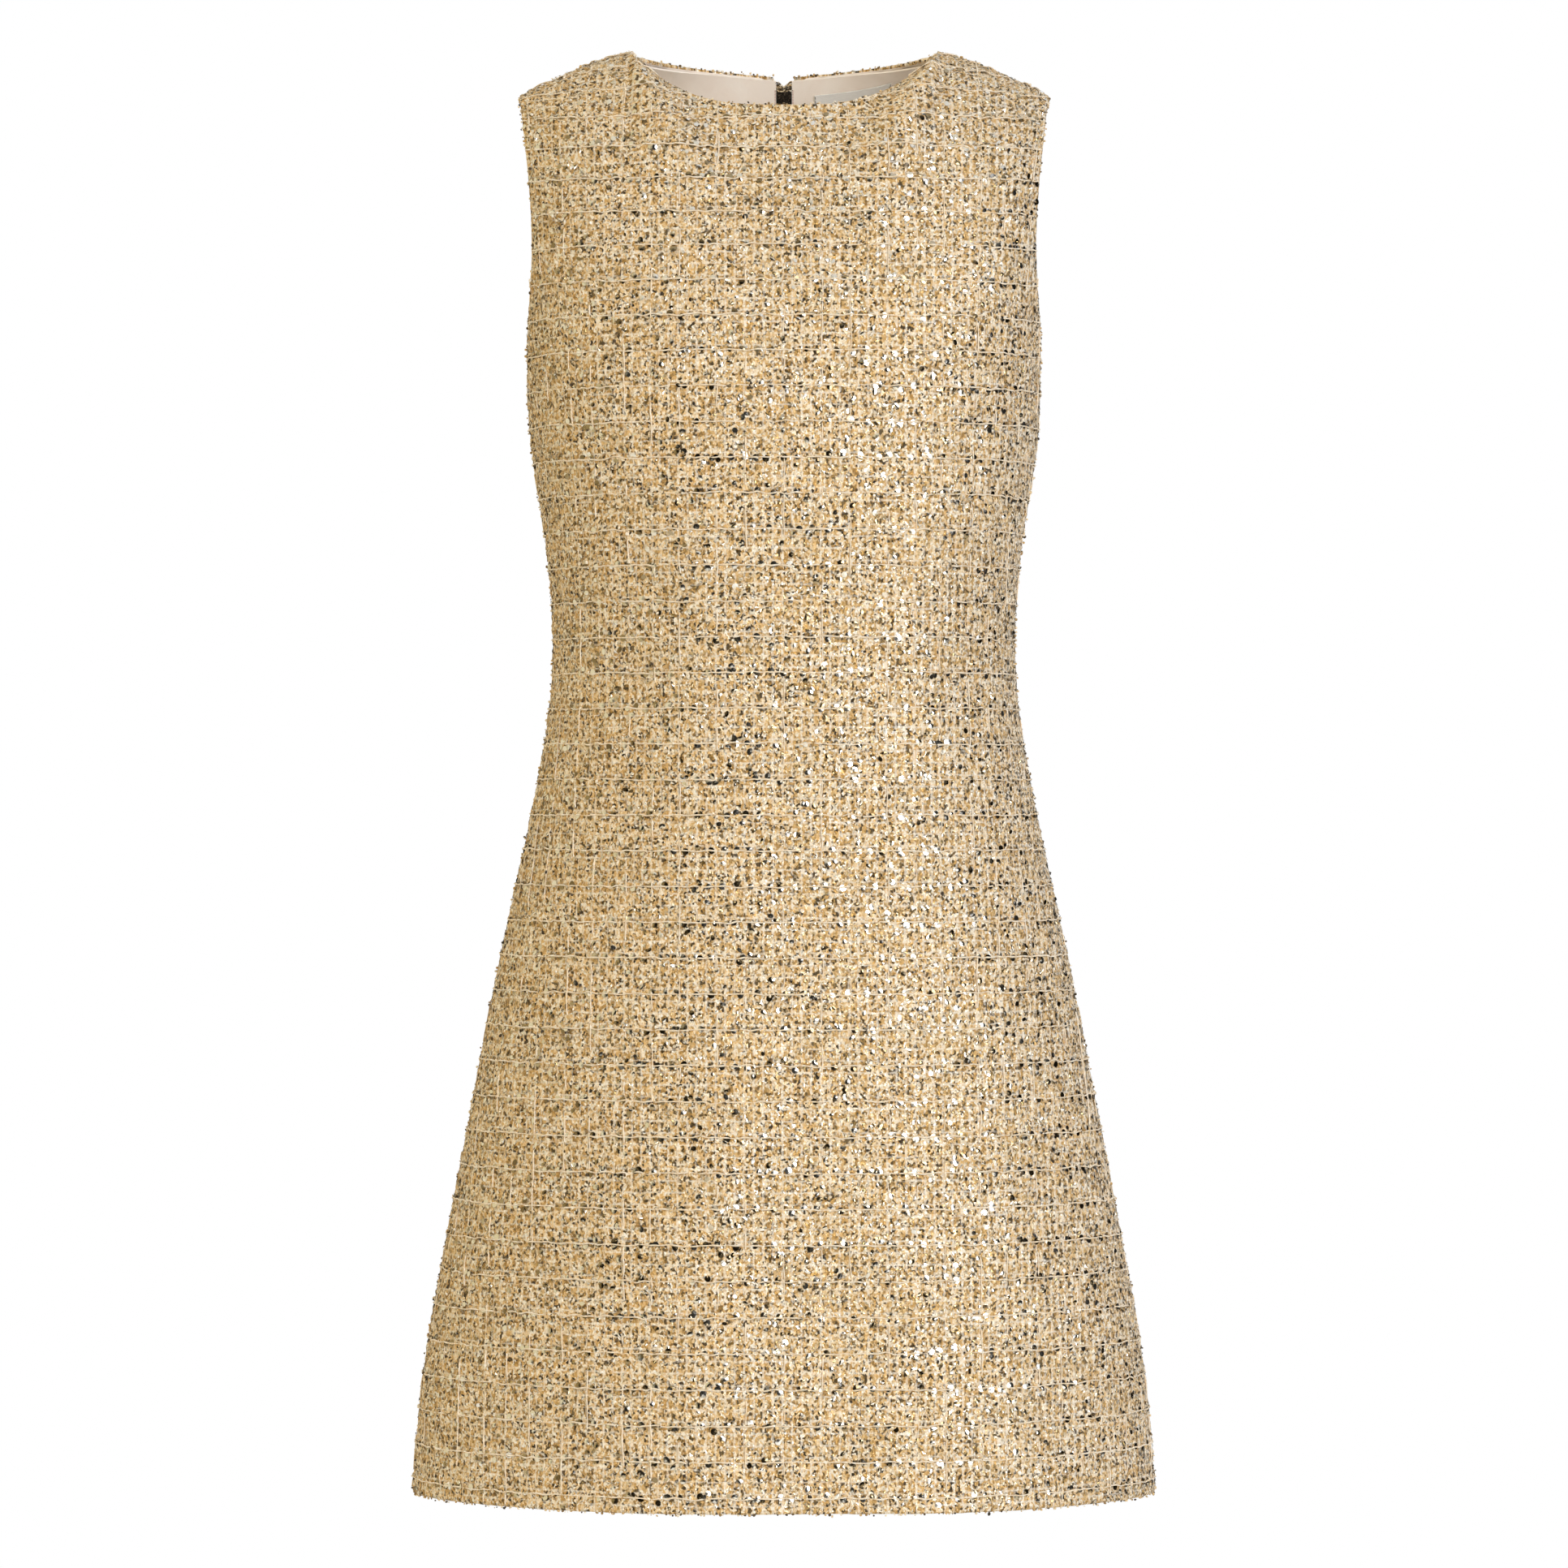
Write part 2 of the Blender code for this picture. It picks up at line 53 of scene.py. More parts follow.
# ---- sizes of the solids, repeated --------------------------------------------------------
CLOTH, LINING, LABEL, TAPE, GAP = 2.4 * MM, 1.0 * MM, 0.8 * MM, 0.8 * MM, 0.3 * MM
UNDERARM, CHEST = -0.178, -0.118
ARM_FRONT, ARM_BACK = 0.050, 0.054
NECK_HALF, NECK_FRONT, NECK_BACK = 0.093, 0.066, 0.060
FRONT_DROP, BACK_DROP = 0.038, 0.009
SHOULDER_TIP, SHOULDER_FALL, SHOULDER_CURVE = 0.1592, 0.026, 1.25
NECK_LEAN = 0.36
SHOULDER_ARC = 0.163      # from the middle to the shoulder's end, round the cloth
ZIP_END, ZIP_CLOSE, ZIP_OPEN = -0.520, 0.016, 0.0053
STITCH_LINE, LABEL_EDGE = 0.0135, 0.0195
FRONT_COLUMNS, FRONT_NECK_COLUMNS = 12, 7
BACK_COLUMNS, BACK_NECK_COLUMNS = 11, 7

# Cross-sections of the body: height, half width, front depth, back depth and squareness.
SECTIONS = (
    (-0.867, 0.2240, 0.136, 0.134, 2.05),
    (-0.801, 0.2180, 0.131, 0.130, 2.06),
    (-0.742, 0.2085, 0.127, 0.126, 2.08),
    (-0.644, 0.1900, 0.120, 0.119, 2.10),
    (-0.546, 0.1710, 0.114, 0.111, 2.12),
    (-0.468, 0.1540, 0.111, 0.102, 2.15),
    (-0.409, 0.1430, 0.110, 0.093, 2.20),
    (-0.370, 0.1392, 0.110, 0.089, 2.25),
    (-0.331, 0.1400, 0.113, 0.089, 2.30),
    (-0.291, 0.1440, 0.118, 0.092, 2.40),
    (-0.233, 0.1525, 0.122, 0.098, 2.55),
    (-0.174, 0.1545, 0.114, 0.101, 2.80),
    (-0.118, 0.1570, 0.098, 0.098, 3.10),
    (-0.060, 0.1600, 0.078, 0.084, 3.30),
)
HEM = SECTIONS[0][0]

# Flutes of the skirt: direction and width in degrees, and the height where each starts.
Flute = namedtuple("Flute", "azimuth out width start")
FLUTES = [Flute(*row) for row in (
    (40.0, 0.0050, 15.0, -0.42),
    (12.0, -0.0030, 14.0, -0.52),
    (-30.0, 0.0032, 19.0, -0.48),
    (-66.0, -0.0028, 13.0, -0.45),
    (68.0, -0.0030, 12.0, -0.50),
    (122.0, 0.0036, 15.0, -0.45),
    (158.0, -0.0026, 13.0, -0.55),
    (-150.0, 0.0040, 17.0, -0.50),
    (-112.0, 0.0030, 14.0, -0.58),
)]

# Soft creases of the cloth: which side, the two ends of its line, its width and how far out.
Crease = namedtuple("Crease", "side x_top z_top x_foot z_foot width out")
FRONT, BACK = -1, 1
CREASES = [Crease(*row) for row in (
    (FRONT, 0.088, -0.250, 0.070, -0.520, 0.020, 0.0016),
    (FRONT, 0.052, -0.330, 0.046, -0.600, 0.017, -0.0012),
    (FRONT, -0.084, -0.255, -0.094, -0.480, 0.019, -0.0015),
    (FRONT, -0.060, -0.300, -0.056, -0.560, 0.022, 0.0012),
    (FRONT, 0.128, -0.215, 0.100, -0.262, 0.010, -0.0014),
    (FRONT, -0.131, -0.208, -0.106, -0.258, 0.011, -0.0013),
    (FRONT, -0.118, -0.396, -0.068, -0.372, 0.010, -0.0010),
    (FRONT, 0.116, -0.384, 0.078, -0.358, 0.009, -0.0010),
    (FRONT, 0.008, -0.480, 0.004, -0.760, 0.024, -0.0012),
    (FRONT, 0.118, -0.560, 0.142, -0.780, 0.020, 0.0016),
    (FRONT, -0.036, -0.600, -0.052, -0.850, 0.019, 0.0013),
    (BACK, 0.070, -0.300, 0.078, -0.470, 0.020, 0.0015),
    (BACK, -0.074, -0.290, -0.068, -0.500, 0.022, 0.0014),
    (BACK, 0.104, -0.372, 0.050, -0.388, 0.010, -0.0015),
    (BACK, -0.108, -0.380, -0.046, -0.366, 0.011, -0.0016),
    (BACK, 0.096, -0.402, 0.056, -0.420, 0.009, -0.0010),
    (BACK, 0.118, -0.225, 0.086, -0.262, 0.011, -0.0012),
    (BACK, -0.114, -0.232, -0.088, -0.270, 0.010, -0.0012),
    (BACK, 0.064, -0.580, 0.082, -0.830, 0.023, 0.0015),
    (BACK, -0.110, -0.600, -0.134, -0.840, 0.021, 0.0014),
)]

# ---- sizes of the cloth's yarns -----------------------------------------------------------
WARP = 5.6 * MM           # between the knotty upright yarns
PALE_ROW = 21.0 * MM      # between the pale crossways yarns that carry sequins
STEP_U = WARP / 3         # lattice columns
STEP_V = PALE_ROW / 9     # lattice rows
COARSE = 4                # inner skin: one lattice line in this many
HEM_TURNUP = 0.034        # tweed turned up inside the hem
NOTCH, NOTCH_DEEP = 1.0 * MM, 9.0 * MM    # the back corners curl apart at the neck

# ---- sizes of what is sewn in and what lies on the cloth ------------------------------------
TAPE_LIE = CLOTH + GAP                            # how far below the cloth's face each lies
LINING_LIE = CLOTH + 2 * GAP + TAPE
LABEL_LIE = CLOTH + 3 * GAP + TAPE + LINING
LINING_EDGE, LINING_TOP = 4.9 * MM, 0.3 * MM      # in from the middle, down from the neck edge
TAPE_EDGE, TAPE_TOP = 0.9 * MM, 5.5 * MM
LABEL_END, LABEL_TOP, LABEL_FOOT = 67 * MM, 11 * MM, 29 * MM
TOOTH_PITCH, FIRST_TOOTH, TOOTH_REACH = 1.25 * MM, 9.5 * MM, 0.75 * MM
TOOTH_SIZE = (3.2 * MM, 1.0 * MM, 2.0 * MM)
BOTTOM_STOP = (1.7, 1.3, 1.7)                     # its size in teeth
CORNER = 0.12 * MM                                # rounding of the slider and the pull tab
THREAD = 0.17 * MM                                # radius of the sewing thread
STITCH_RISE = 0.05 * MM
SEQUIN, SEQUIN_CUP, SEQUINS_M2 = 2.1 * MM, 0.24 * MM, 8800
FILM, FILM_CUP, FILMS_M2 = 1.5 * MM, 0.15 * MM, 26000
NUB, NUBS_M2, RIM_NUBS = 0.92 * MM, 8200, 0.62
YARN_ENDS = 90                                    # frayed ends over the top of the zip
FIRST_SEED = 20

# ---- the studio -----------------------------------------------------------------------------
CAMERA_AWAY, CAMERA_HEIGHT, CAMERA_LENS = 4.0, -0.4415, 152.1
FLOOR = -1.42
WORLD_LIGHT = 0.74
MIDDLE = (0.0, 0.0, -0.42)                        # where every lamp points
Lamp = namedtuple("Lamp", "name place width height power colour diffuse glossy")
WHITE = (1.0, 1.0, 1.0)
LAMPS = [Lamp(*row) for row in (
    ("key", (1.3, -2.65, 0.5), 1.3, 2.0, 63.0, (1.0, 0.985, 0.985), True, True),
    ("fill", (-2.6, -1.7, 0.1), 1.2, 2.2, 17.5, (1.0, 0.78, 0.42), True, False),
    ("glint", (1.95, -2.2, -0.7), 0.6, 1.7, 42.0, WHITE, False, True),
    ("back_left", (-2.2, 2.2, 0.5), 1.2, 2.0, 22.0, WHITE, True, False),
    ("back_right", (2.3, 2.1, 0.4), 1.2, 2.0, 22.0, WHITE, True, False),
)]


def smooth(x):
    x = np.clip(x, 0.0, 1.0)
    return x * x * (3 - 2 * x)


# ---- the form -----------------------------------------------------------------------------
def section_at(height):
    """Half width, front depth, back depth and squareness of the body at heights."""
    rows = np.array(SECTIONS)
    z = rows[:, 0]
    k = np.clip(np.searchsorted(z, height) - 1, 0, len(z) - 2)
    below, above = np.maximum(k - 1, 0), np.minimum(k + 2, len(z) - 1)
    step = z[k + 1] - z[k]
    t = (height - z[k]) / step
    values = []
    for column in rows[:, 1:].T:
        a, b = column[k], column[k + 1]
        slope_a = (b - column[below]) / (z[k + 1] - z[below]) * step
        slope_b = (column[above] - a) / (z[above] - z[k]) * step
        values.append((2 * t**3 - 3 * t**2 + 1) * a + (t**3 - 2 * t**2 + t) * slope_a
                      + (3 * t**2 - 2 * t**3) * b + (t**3 - t**2) * slope_b)
    return values


def body(side, angle, height):
    """Points of the body; angle runs from the centre of that side to the side seam."""
    angle, height = np.broadcast_arrays(np.asarray(angle, float), np.asarray(height, float))
    half, front, back, power = section_at(height)
    depth = front if side == FRONT else back
    across = np.abs(np.sin(angle)) / half
    along = np.abs(np.cos(angle)) / depth
    radius = (across**power + along**power) ** (-1 / power)
    azimuth = angle if side == FRONT else np.copysign(math.pi, angle) - angle
    for flute in FLUTES:
        away = (np.degrees(azimuth) - flute.azimuth + 180) % 360 - 180
        fade = smooth((flute.start - height) / (flute.start - HEM))
        radius = radius + flute.out * fade * np.exp(-(away / flute.width) ** 2)
    return np.stack([radius * np.sin(angle), side * radius * np.cos(angle), height], -1)


def runs(points):
    """Length along each row of points, from 0."""
    steps = np.linalg.norm(np.diff(points, axis=-2), axis=-1)
    return np.concatenate([np.zeros(steps.shape[:-1] + (1,)), np.cumsum(steps, -1)], -1)


def follow(x, xs, ys):
    """Linear interpolation that carries straight on past both ends."""
    y = np.interp(x, xs, ys)
    low = ys[0] + (x - xs[0]) * (ys[1] - ys[0]) / (xs[1] - xs[0])
    high = ys[-1] + (x - xs[-1]) * (ys[-1] - ys[-2]) / (xs[-1] - xs[-2])
    return np.where(x < xs[0], low, np.where(x > xs[-1], high, y))


def arm_reach(side, height):
    """How far from the side seam the armhole reaches at heights of its foot."""
    t = np.arccos(np.clip(1 - (height - UNDERARM) / (CHEST - UNDERARM), -1, 1))
    return (ARM_FRONT if side == FRONT else ARM_BACK) * np.sin(t)


def zip_gap(height):
    """Half the gap between the back panels."""
    shut = smooth((ZIP_END - height) / ZIP_CLOSE)
    return ZIP_OPEN + (GAP / 2 - ZIP_OPEN) * shut


def turn_and_seam(side, arc, width):
    """Where columns end on the top edge: their turn round the neck, and the shoulder's share."""
    if side == FRONT:
        count, neck, first = FRONT_COLUMNS, FRONT_NECK_COLUMNS, 0.0
    else:
        count, neck, first = BACK_COLUMNS, BACK_NECK_COLUMNS, LABEL_EDGE
    start = math.asin(first / NECK_HALF)
    k = (arc - first) / (width - first) * count
    turn = start + (math.pi / 2 - start) * np.clip(k / neck, 0, 1)
    turn = np.where(k < 0, np.arcsin(np.clip(arc / NECK_HALF, 0, 1)), turn)
    return turn, np.clip((k - neck) / (count - neck), 0, None)


def top_edge(side, hand, turn, seam):
    """Points of the neck edge, and of the shoulder seam past it."""
    x = NECK_HALF * np.sin(turn)
    if side == FRONT:
        y, z = NECK_FRONT * np.cos(turn), -FRONT_DROP * (1 - np.sin(turn) ** 3)
    else:
        y, z = NECK_BACK * np.cos(turn), -BACK_DROP * (1 - np.sin(turn) ** 1.2)
    on = seam > 0
    x = np.where(on, NECK_HALF + (SHOULDER_TIP - NECK_HALF) * seam, x)
    z = np.where(on, -SHOULDER_FALL * seam**SHOULDER_CURVE, z)
    return np.stack([hand * x, side * np.where(on, 0.0, y), z], -1)


class Half:
    """One half of the front or back as a lattice of points, with the lines that bound it.

    u is 0 at the centre line. Points past the edges are there too, so that the lattice can be
    cut along them: width bounds u for each row, top bounds v for each column."""

    CLEAR = 6                 # lattice lines past the edges
    PAST_SEAM = 1.1           # how far round arcs reach, in quarter turns
    ARC_STEPS, YOKE_COLUMNS, YOKE_ROWS, ROWS_PAST = 320, 150, 100, 8
    ARRIVE = 1.15             # how strongly the yoke's arcs turn into the top edge

    def __init__(self, side, hand):
        self.side, self.hand = side, hand
        reach = self.arcs(np.array([HEM]))[1][0, -1]
        self.u = np.arange(0, int(reach / STEP_U) + self.CLEAR) * STEP_U
        chest_row = int((CHEST - HEM) / STEP_V)
        low = HEM - STEP_V / 2 + np.arange(chest_row + 1) * STEP_V
        self.low_rows = len(low)
        lower = self.skirt(low)
        self.points = np.concatenate([lower, self.yoke(low[-1])])
        self.width = np.interp(self.v, self.edge_v, self.edge_u)
        self.points[..., 1] += side * GAP / 2

    def arcs(self, heights):
        """Angles from the centre line past the side seam, and the length to them at heights."""
        angles = np.linspace(0, math.pi / 2 * self.PAST_SEAM, self.ARC_STEPS)
        rings = body(self.side, self.hand * angles[None, :], heights[:, None])
        return angles, runs(rings)

    def seam_arc(self, heights):
        """Length from the centre line to the side seam, or to the armhole's foot above it."""
        angles, lengths = self.arcs(heights)
        result = []
        for height, row in zip(heights, lengths):
            end = math.pi / 2
            if height > UNDERARM:
                depth = np.abs(body(self.side, self.hand * angles, height)[:, 1])
                inside = angles < math.pi / 2
                end = np.interp(-arm_reach(self.side, height), -depth[inside], angles[inside])
            result.append(np.interp(end, angles, row))
        return np.array(result)

    def skirt(self, heights):
        """Lattice rows from the hem to the chest line."""
        angles, lengths = self.arcs(heights)
        place = np.array([follow(self.u, row, angles) for row in lengths])
        self.edge_v, self.edge_u = heights, self.seam_arc(heights)
        return body(self.side, self.hand * place, heights[:, None])

    def yoke(self, last_height):
        """Lattice rows from the chest line to the neck edge and shoulder seam. Columns keep
        their distance from the middle, and rows lie a lattice step apart along the cloth."""
        side, hand = self.side, self.hand
        angles, lengths = self.arcs(np.array([CHEST]))
        width = self.seam_arc(np.array([CHEST]))[0]
        arc = np.linspace(0, width, self.YOKE_COLUMNS)
        angle = np.interp(arc, lengths[0], angles)
        start = body(side, hand * angle, CHEST)
        turn, seam = turn_and_seam(side, arc, width)
        end = top_edge(side, hand, turn, seam)
        span = np.linalg.norm(end - start, axis=-1, keepdims=True)
        leave = start - body(side, hand * angle, CHEST - CLOTH)
        leave *= span / np.linalg.norm(leave, axis=-1, keepdims=True)
        lean = NECK_LEAN + (1 - NECK_LEAN) * smooth(np.sin(turn) ** 2)
        arrive = np.stack([lean * 0, -side * lean, 1 - lean], -1)
        arrive *= self.ARRIVE * span / np.linalg.norm(arrive, axis=-1, keepdims=True)
        steps = np.linspace(0, 1.0, self.YOKE_ROWS)
        sheet = np.array([self.rise(t, start, leave, end, arrive) for t in steps])
        further = np.arange(1, self.ROWS_PAST + 1)[:, None, None]
        past = sheet[-1] + (sheet[-1] - sheet[-2]) * further
        sheet = np.concatenate([sheet, past])
        across = np.abs(sheet[..., 0]) + np.arange(len(arc)) * 1e-9
        shares = np.minimum(np.arange(len(sheet)) / (len(steps) - 1), 1.0)
        grain = np.array([self.grain(row, share, across[0], arc)
                          for row, share in zip(across, shares)])
        columns = np.array([[follow(self.u, g, row[:, axis]) for axis in range(3)]
                            for g, row in zip(grain, sheet)]).transpose(2, 0, 1)
        length = runs(columns)
        self.top = CHEST + length[:, len(steps) - 1]
        count = int((self.top.max() - last_height) / STEP_V) + self.CLEAR
        high = last_height + STEP_V * np.arange(1, count)
        self.v = np.concatenate([HEM - STEP_V / 2 + np.arange(self.low_rows) * STEP_V, high])
        rows = np.zeros((len(high), len(self.u), 3))
        for i, column in enumerate(columns):
            for axis in range(3):
                rows[:, i, axis] = follow(high - CHEST, length[i], column[:, axis])
        edge_u = grain[:len(steps), -1]
        column = [np.interp(u, self.u, length[:, k]) for k, u in enumerate(edge_u)]
        keep = self.edge_v < CHEST - STEP_V / 4
        self.edge_v = np.concatenate([self.edge_v[keep], CHEST + np.array(column)])
        self.edge_u = np.concatenate([self.edge_u[keep], edge_u])
        return rows

    def grain(self, across, share, chest_across, arc):
        """u of a yoke row's points from their distances to the middle. At the chest line it is
        the length round the body; further up the yarns run straight to the shoulder seam."""
        widen = chest_across[-1] / across[-1]
        low = np.interp(across * widen, chest_across, arc)
        high = across * SHOULDER_ARC / SHOULDER_TIP
        return low + (high - low) * smooth(share)

    def rise(self, t, start, leave, end, arrive):
        """The row of the yoke's arcs at a share of their length."""
        return ((2 * t**3 - 3 * t**2 + 1) * start + (t**3 - 2 * t**2 + t) * leave
                + (3 * t**2 - 2 * t**3) * end + (t**3 - t**2) * arrive)


def unit(vectors):
    return vectors / np.maximum(np.linalg.norm(vectors, axis=-1, keepdims=True), 1e-12)


def slopes(points):
    """Unit directions along u and v on a lattice."""
    return unit(np.gradient(points, axis=1)), unit(np.gradient(points, axis=0))


class Panel:
    """A panel of cloth: its lattice of points with normals, and its edges."""

    def __init__(self, name, side, halves):
        self.name, self.side, self.whole = name, side, len(halves) == 2
        last = halves[-1]
        rows = min(len(half.v) for half in halves)
        self.v = last.v[:rows]
        if self.whole:
            mirror, here = halves
            columns = min(len(mirror.u), len(here.u))
            self.points = np.concatenate([mirror.points[:rows, columns - 1:0:-1],
                                          here.points[:rows, :columns]], axis=1)
            self.u = np.concatenate([-mirror.u[columns - 1:0:-1], here.u[:columns]])
            self.top = np.concatenate([mirror.top[columns - 1:0:-1], here.top[:columns]])
            self.width_low, self.width_high = -mirror.width[:rows], here.width[:rows]
            self.out = 1
        else:
            self.points, self.u, self.top = last.points[:rows], last.u, last.top
            rise = smooth((self.v - self.top[0]) / NOTCH_DEEP + 1)
            self.width_low = zip_gap(self.v) + NOTCH * rise
            self.width_high = last.width[:rows]
            self.out = -last.hand
        last_row = np.argmin(np.abs(self.v[:, None] - last.top[None, :]), axis=0)
        self.neck_u = last.u
        self.neck_x = np.abs(last.points[last_row, np.arange(len(last.u)), 0])
        normal = unit(np.cross(*slopes(self.points))) * self.out
        self.points = self.points + normal * self.creases(self.points)[..., None]
        along, self.up = slopes(self.points)
        self.normal = unit(np.cross(along, self.up)) * self.out

    def creases(self, points):
        """How far the creases push the cloth out at points."""
        x, z = points[..., 0], points[..., 2]
        out = np.zeros(x.shape)
        for crease in CREASES:
            if crease.side != self.side:
                continue
            dx, dz = crease.x_foot - crease.x_top, crease.z_foot - crease.z_top
            share = ((x - crease.x_top) * dx + (z - crease.z_top) * dz) / (dx * dx + dz * dz)
            away = np.abs((x - crease.x_top) * dz - (z - crease.z_top) * dx) / math.hypot(dx, dz)
            ends = smooth(share / 0.35 + 0.35) * smooth((1 - share) / 0.35 + 0.35)
            out += crease.out * ends * np.exp(-(away / crease.width) ** 2)
        return out

    def inside(self, u, v):
        """How far points of the cloth are inside its edge, in u or v; negative is outside."""
        return np.minimum.reduce([
            np.interp(v, self.v, self.width_high) - u,
            u - np.interp(v, self.v, self.width_low),
            self.top_at(u) - v,
            v - HEM])

    def top_at(self, u):
        """v of the top edge at u."""
        return np.interp(u, self.u, self.top)

    def free_edge(self, u, v):
        """1 where the edge is a hem, neck or armhole, and 0 where it meets another panel."""
        to_side = np.interp(v, self.v, self.width_high) - u
        to_low = u - np.interp(v, self.v, self.width_low)
        to_top = self.top_at(u) - v
        near = np.argmin([to_side, to_low, to_top, v - HEM], axis=0)
        on_side = (near == 0) | ((near == 1) & self.whole)
        over_neck = np.interp(np.abs(u), self.neck_u, self.neck_x) < NECK_HALF - 1.5 * MM
        free = np.where(near == 3, 1.0, np.where(near == 2, over_neck, 0.0))
        return np.where(on_side, v > UNDERARM + 2 * MM, free)

    def sample(self, grid, u, v):
        """Values of a lattice at points of the cloth."""
        i = np.clip((u - self.u[0]) / STEP_U, 0, len(self.u) - 1.001)
        j = np.clip((v - self.v[0]) / STEP_V, 0, len(self.v) - 1.001)
        i0, j0 = i.astype(int), j.astype(int)
        a, b = (i - i0)[..., None], (j - j0)[..., None]
        return ((grid[j0, i0] * (1 - a) + grid[j0, i0 + 1] * a) * (1 - b)
                + (grid[j0 + 1, i0] * (1 - a) + grid[j0 + 1, i0 + 1] * a) * b)

    def at(self, u, v, lift=0.0):
        """Points on the cloth, lifted off it."""
        u, v = np.asarray(u, float), np.asarray(v, float)
        lift = np.asarray(lift, float)[..., None]
        return self.sample(self.points, u, v) + self.sample(self.normal, u, v) * lift


# ---- meshes -------------------------------------------------------------------------------
def make_mesh(name, points, faces, uv, slots=None):
    """A mesh of points and faces, with its flat pattern as a UV map in metres."""
    mesh = bpy.data.meshes.new(name)
    mesh.from_pydata(np.asarray(points).tolist(), [], faces)
    corner = np.zeros(len(mesh.loops), np.int32)
    mesh.loops.foreach_get("vertex_index", corner)
    mesh.uv_layers.new(name="pattern").data.foreach_set("uv", uv[corner].ravel())
    if slots is not None:
        mesh.polygons.foreach_set("material_index", np.asarray(slots, np.int32))
    mesh.validate()
    return mesh


def reshaped(mesh, change):
    """Change a mesh through its editing form."""
    bm = bmesh.new()
    bm.from_mesh(mesh)
    change(bm)
    bm.to_mesh(mesh)
    bm.free()


def show(name, mesh, materials, body_name, slot, *replaced, soft=True):
    """Link a finished piece, give it its materials and tie it to its body."""
    piece = bpy.data.objects.new(name, mesh)
    bpy.context.scene.collection.objects.link(piece)
    if len(mesh.materials):
        mesh.materials.clear()
    for material in materials:
        mesh.materials.append(material)
    if soft:
        mesh.shade_smooth()
    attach(piece, body_name)
    if replaced:
        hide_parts(*replaced)
    return piece


def cut_lattice(panel, every=1):
    """The panel's lattice cut along its edge: points in u and v, faces, and the edge's loop."""
    u, v = panel.u[::every], panel.v[::every]
    uu, vv = np.meshgrid(u, v)
    depth = panel.inside(uu, vv)
    within = depth > 0
    number = np.full(within.shape, -1)
    number[within] = np.arange(within.sum())
    pattern = list(zip(uu[within], vv[within]))
    cells = [number[:-1, :-1], number[:-1, 1:], number[1:, 1:], number[1:, :-1]]
    whole = np.minimum.reduce(cells) >= 0
    faces = np.stack([cell[whole] for cell in cells], -1).tolist()
    crossings, after = {}, {}
    some = (np.maximum.reduce(cells) >= 0) & ~whole
    for j, i in zip(*np.nonzero(some)):
        corners = [(j, i), (j, i + 1), (j + 1, i + 1), (j + 1, i)]
        face, leaving, entering = [], None, None
        for a, b in zip(corners, corners[1:] + corners[:1]):
            if within[a]:
                face.append(int(number[a]))
            if within[a] != within[b]:
                key = (min(a, b), max(a, b))
                if key not in crossings:
                    share = depth[a] / (depth[a] - depth[b])
                    crossings[key] = len(pattern)
                    pattern.append((uu[a] + (uu[b] - uu[a]) * share,
                                    vv[a] + (vv[b] - vv[a]) * share))
                face.append(crossings[key])
                if within[a]:
                    leaving = crossings[key]
                else:
                    entering = crossings[key]
        faces.append(face)
        after[leaving] = entering
    start = next(iter(after))
    loop = [start]
    while after[loop[-1]] != start:
        loop.append(after[loop[-1]])
    return np.array(pattern), faces, loop


def zip_up(first, second, first_places, second_places):
    """Triangles between two closed loops that run the same way round the same outline."""
    near = int(np.argmin(np.linalg.norm(second_places - first_places[0], axis=1)))
    order = np.roll(np.arange(len(second)), -near)
    second, second_places = [second[k] for k in order], second_places[order]
    shares = []
    for places in (first_places, second_places):
        steps = np.linalg.norm(np.diff(places, axis=0, append=places[:1]), axis=1)
        shares.append(np.concatenate([[0], np.cumsum(steps)]) / steps.sum())
    faces, a, b = [], 0, 0
    while a < len(first) or b < len(second):
        here, there = first[a % len(first)], second[b % len(second)]
        if b == len(second) or (a < len(first) and shares[0][a + 1] <= shares[1][b + 1]):
            a += 1
            faces.append([first[a % len(first)], here, there])
        else:
            b += 1
            faces.append([here, there, second[b % len(second)]])
    return faces


def blur(values, axis):
    """Neighbours mixed along one axis."""
    return (np.roll(values, 1, axis) + 2 * values + np.roll(values, -1, axis)) / 4


def yarn_relief(panel, rng):
    """Height of the yarns over the cloth's face: uneven yarns up and across, troughs and knots."""
    shape = (len(panel.v), len(panel.u))
    column = np.round(panel.u / STEP_U).astype(int)
    row = np.arange(len(panel.v))
    grit = rng.normal(size=shape)
    knots, slubs = blur(rng.normal(size=shape), 0), blur(rng.normal(size=shape), 1)
    warp = np.broadcast_to(column % 3 == 0, shape)
    weft = np.broadcast_to((row % 3 == 1)[:, None], shape)
    # in millimetres: a yarn's or trough's usual height, and how uneven it is
    high = np.where(warp, 0.28 + 0.32 * knots, -0.24 + 0.26 * grit)
    high = high + np.where(weft & ~warp, 0.22 + 0.28 * slubs, 0.0)
    high += np.where(rng.random(shape) < 0.06, 0.35, 0.0)
    return np.clip(high, -0.9, 1.1) * MM


